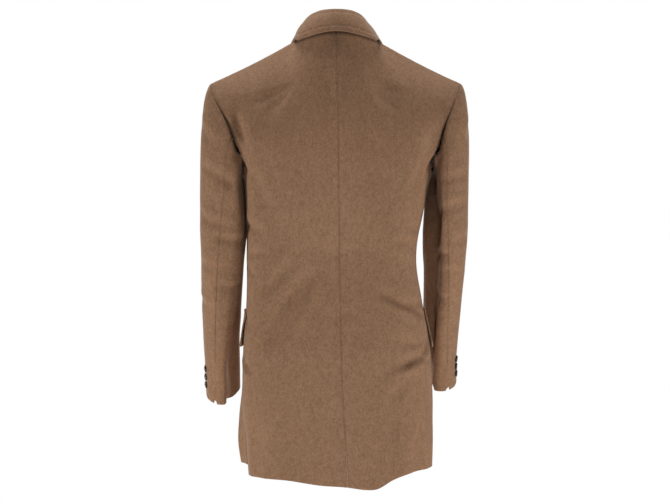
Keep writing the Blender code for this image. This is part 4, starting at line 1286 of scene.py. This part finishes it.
triangles = 0
for name, sheet in cloth.items():
    kind = name.replace("_left", "").replace("_right", "")
    cut = CUTS[kind]
    area = sum(face.area for face in sheet.data.polygons)
    count = thicken(name, sheet)
    triangles += count
    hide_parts(name)
    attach(sheet, "root")
    print(name, "triangles:", count, "area:", round(area, 4), "of", cut.width * cut.length)
    [other + "_" + side_of(name) + "_cloth" for other in cut.lies_on]
print("cloth triangles in all:", triangles)

# %% [markdown]
# The buttons are four-hole horn buttons, turned from a disc: a raised rim, a dished middle and
# four drilled holes, sewn on with two straight strands of thread. One is modelled with the edit
# tools a turner would recognise, from a cylinder that is inset and pushed in, drilled with a
# boolean, and then copied to every place where a button sits, smaller at the cuffs.

# %% Horn and thread
HORN_DARK = (0.022, 0.012, 0.008, 1.0)
HORN_PALE = (0.085, 0.048, 0.029, 1.0)
THREAD = (0.235, 0.135, 0.078, 1.0)


def horn_finish(name):
    """Polished horn with long cloudy streaks."""
    finish, tree, shader = new_finish(name)
    streak = clouds(tree, 0.004, 3.0, 4.0, 0.6, 1.5)
    fine = clouds(tree, 0.0009, 5.0, 2.0)
    pale = streak * 0.8 + fine * 0.2
    colour = blend_colours(tree, band(tree, pale, 0.35, 0.75), HORN_DARK, HORN_PALE)
    lay_on(tree, shader, colour, 0.22 + fine * 0.14, 0.2, 0.0002, fine)
    return finish


def thread_finish(name):
    """Twisted sewing thread."""
    finish, tree, shader = new_finish(name)
    twist = clouds(tree, 0.0006, 1.0, 2.0)
    dark = tuple(part * 0.6 for part in THREAD[:3]) + (1.0,)
    colour = blend_colours(tree, twist, dark, THREAD)
    lay_on(tree, shader, colour, 0.7 + twist * 0.2, 0.5, 0.0002, twist)
    return finish


horn = horn_finish("polished_horn")
sewing_thread = thread_finish("sewing_thread")
print("button finishes:", horn.name, sewing_thread.name)

# %% One button
BUTTON_R, BUTTON_THICK = 0.0115, 0.0034
BODY_SHARE = 0.93           # the disc's radius before its edge counts, as a share of the button's
STEPS = ((0.17, 0.0), (0.10, 0.28), (0.22, 0.04))   # rim, slope, dish: inwards and down, as shares
BUTTON_ROUND, BUTTON_SMOOTH = 0.0007, math.radians(40)
HOLE_R, HOLE_OUT = 0.0010, 0.0021
HOLE_ASIDE = HOLE_OUT * 0.72
STRAND_R, STRAND_LONG = 0.00042, HOLE_OUT * 0.74


def face_up(piece, height):
    """Selects the faces of a piece that look up at a height, in edit mode."""
    mesh = bmesh.from_edit_mesh(piece.data)
    bpy.ops.mesh.select_all(action="DESELECT")
    mesh.select_mode = {"FACE"}
    chosen = 0
    for face in mesh.faces:
        if face.normal.z > 0.9 and abs(face.calc_center_median().z - height) < 1e-5:
            face.select_set(True)
            chosen += 1
    bmesh.update_edit_mesh(piece.data)
    return chosen


bpy.ops.object.select_all(action="DESELECT")
bpy.ops.mesh.primitive_cylinder_add(vertices=40, radius=BUTTON_R * BODY_SHARE,
                                    depth=BUTTON_THICK)
turned = bpy.context.object
turned.name = "turned_button"
bpy.ops.object.mode_set(mode="EDIT")
bpy.ops.mesh.select_mode(type="FACE")
face_up(turned, BUTTON_THICK / 2)
for inwards, down in STEPS:
    bpy.ops.mesh.inset(thickness=BUTTON_R * inwards, depth=-BUTTON_THICK * down)
bpy.ops.object.mode_set(mode="OBJECT")
work_in(turned, "BEVEL", width=BUTTON_ROUND, segments=3, limit_method="ANGLE",
        angle_limit=BUTTON_SMOOTH)
print("button faces before drilling:", len(turned.data.polygons))

# %% Its four holes
drills = []
for x, y in ((1, 1), (-1, 1), (-1, -1), (1, -1)):
    bpy.ops.mesh.primitive_cylinder_add(vertices=14, radius=HOLE_R, depth=BUTTON_THICK * 3,
                                        location=(x * HOLE_ASIDE, y * HOLE_ASIDE, 0))
    drills.append(bpy.context.object)
select_only(*drills)
bpy.ops.object.join()
select_only(turned)
work_in(turned, "BOOLEAN", operation="DIFFERENCE", solver="EXACT", object=drills[0])
bpy.data.objects.remove(drills[0])
turned.data.materials.append(horn)
turned.data.materials.append(sewing_thread)
print("button faces after drilling:", len(turned.data.polygons))

# %% Its thread
strands = []
for y in (1, -1):
    bpy.ops.object.select_all(action="DESELECT")
    bpy.ops.mesh.primitive_torus_add(major_segments=20, minor_segments=8, major_radius=STRAND_LONG,
                                     minor_radius=STRAND_R, location=(0, 0, 0),
                                     rotation=(math.radians(90), 0, 0))
    strand = bpy.context.object
    bpy.ops.object.transform_apply(location=True, rotation=True, scale=True)
    bpy.ops.object.mode_set(mode="EDIT")
    bpy.ops.mesh.select_all(action="SELECT")
    bpy.ops.mesh.bisect(plane_co=(0, 0, 0), plane_no=(0, 0, 1), clear_inner=True, use_fill=True)
    bpy.ops.mesh.select_all(action="SELECT")
    bpy.ops.transform.resize(value=(1.0, 1.5, 0.7), center_override=(0, 0, 0))
    bpy.ops.transform.translate(value=(0, y * HOLE_ASIDE, BUTTON_THICK * 0.08))
    bpy.ops.object.mode_set(mode="OBJECT")
    for finish in (horn, sewing_thread):
        strand.data.materials.append(finish)
    for face in strand.data.polygons:
        face.material_index = 1
    strands.append(strand)
select_only(turned, *strands)
bpy.ops.object.join()
bpy.ops.object.shade_smooth_by_angle(angle=BUTTON_SMOOTH)
print("button with its thread, faces:", len(turned.data.polygons))

# %% [markdown]
# A button's place and facing are read from its solid, as the middle of its points and its short
# way through. The copy is laid there and moves with the cloth under it. Every copy is turned a
# little differently, as buttons are that were sewn on by hand.

# %% Where the buttons sit
Stack = namedtuple("Stack", "middle facing radius")


def panel_under(name):
    """The cloth that a button is sewn to."""
    return "front_right" if "front" in name else "top_sleeve_" + name.split("_")[-2]


def button_stack(name):
    """Where a button solid sits, which way it faces, and its radius."""
    points = places(panels[name])
    middle = (points.min(axis=0) + points.max(axis=0)) / 2
    _, _, ways = np.linalg.svd(points - points.mean(axis=0), full_matrices=False)
    out = outward(panel_under(name), middle[None, :])[0]
    facing = ways[2] if ways[2] @ out > 0 else -ways[2]
    radius = float(np.max(np.linalg.norm(points - middle, axis=1)))
    return Stack(points.mean(axis=0), facing, radius)


button_names = [name for name in panels if "button" in name]
print("buttons:", len(button_names))

# %% Buttons sewn on
SNUG = 0.985                            # the turned button stays just inside its solid
FIRST_TURN, NEXT_TURN = 0.5, 1.7        # in radians


def sew_on(name, number):
    """Copies the button to the place of one button solid."""
    stack = button_stack(name)
    sink = float(drape(panel_under(name), np.array([stack.middle]))[0])
    size = stack.radius / BUTTON_R * SNUG
    turn = Vector((0, 0, 1)).rotation_difference(Vector(stack.facing)).to_matrix().to_4x4()
    twist = Matrix.Rotation(FIRST_TURN + NEXT_TURN * number, 4, "Z")
    place = Matrix.Translation(Vector(stack.middle + stack.facing * sink))
    piece = bpy.data.objects.new(name + "_turned", turned.data.copy())
    scene.collection.objects.link(piece)
    piece.data.transform(place @ turn @ twist @ Matrix.Scale(size, 4))
    piece.data.update()
    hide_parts(name)
    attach(piece, "root")
    return stack


for number, name in enumerate(button_names):
    stack = sew_on(name, number)
    print(name, "radius", round(stack.radius * 1000, 1), "mm facing", np.round(stack.facing, 2))
bpy.data.objects.remove(turned)
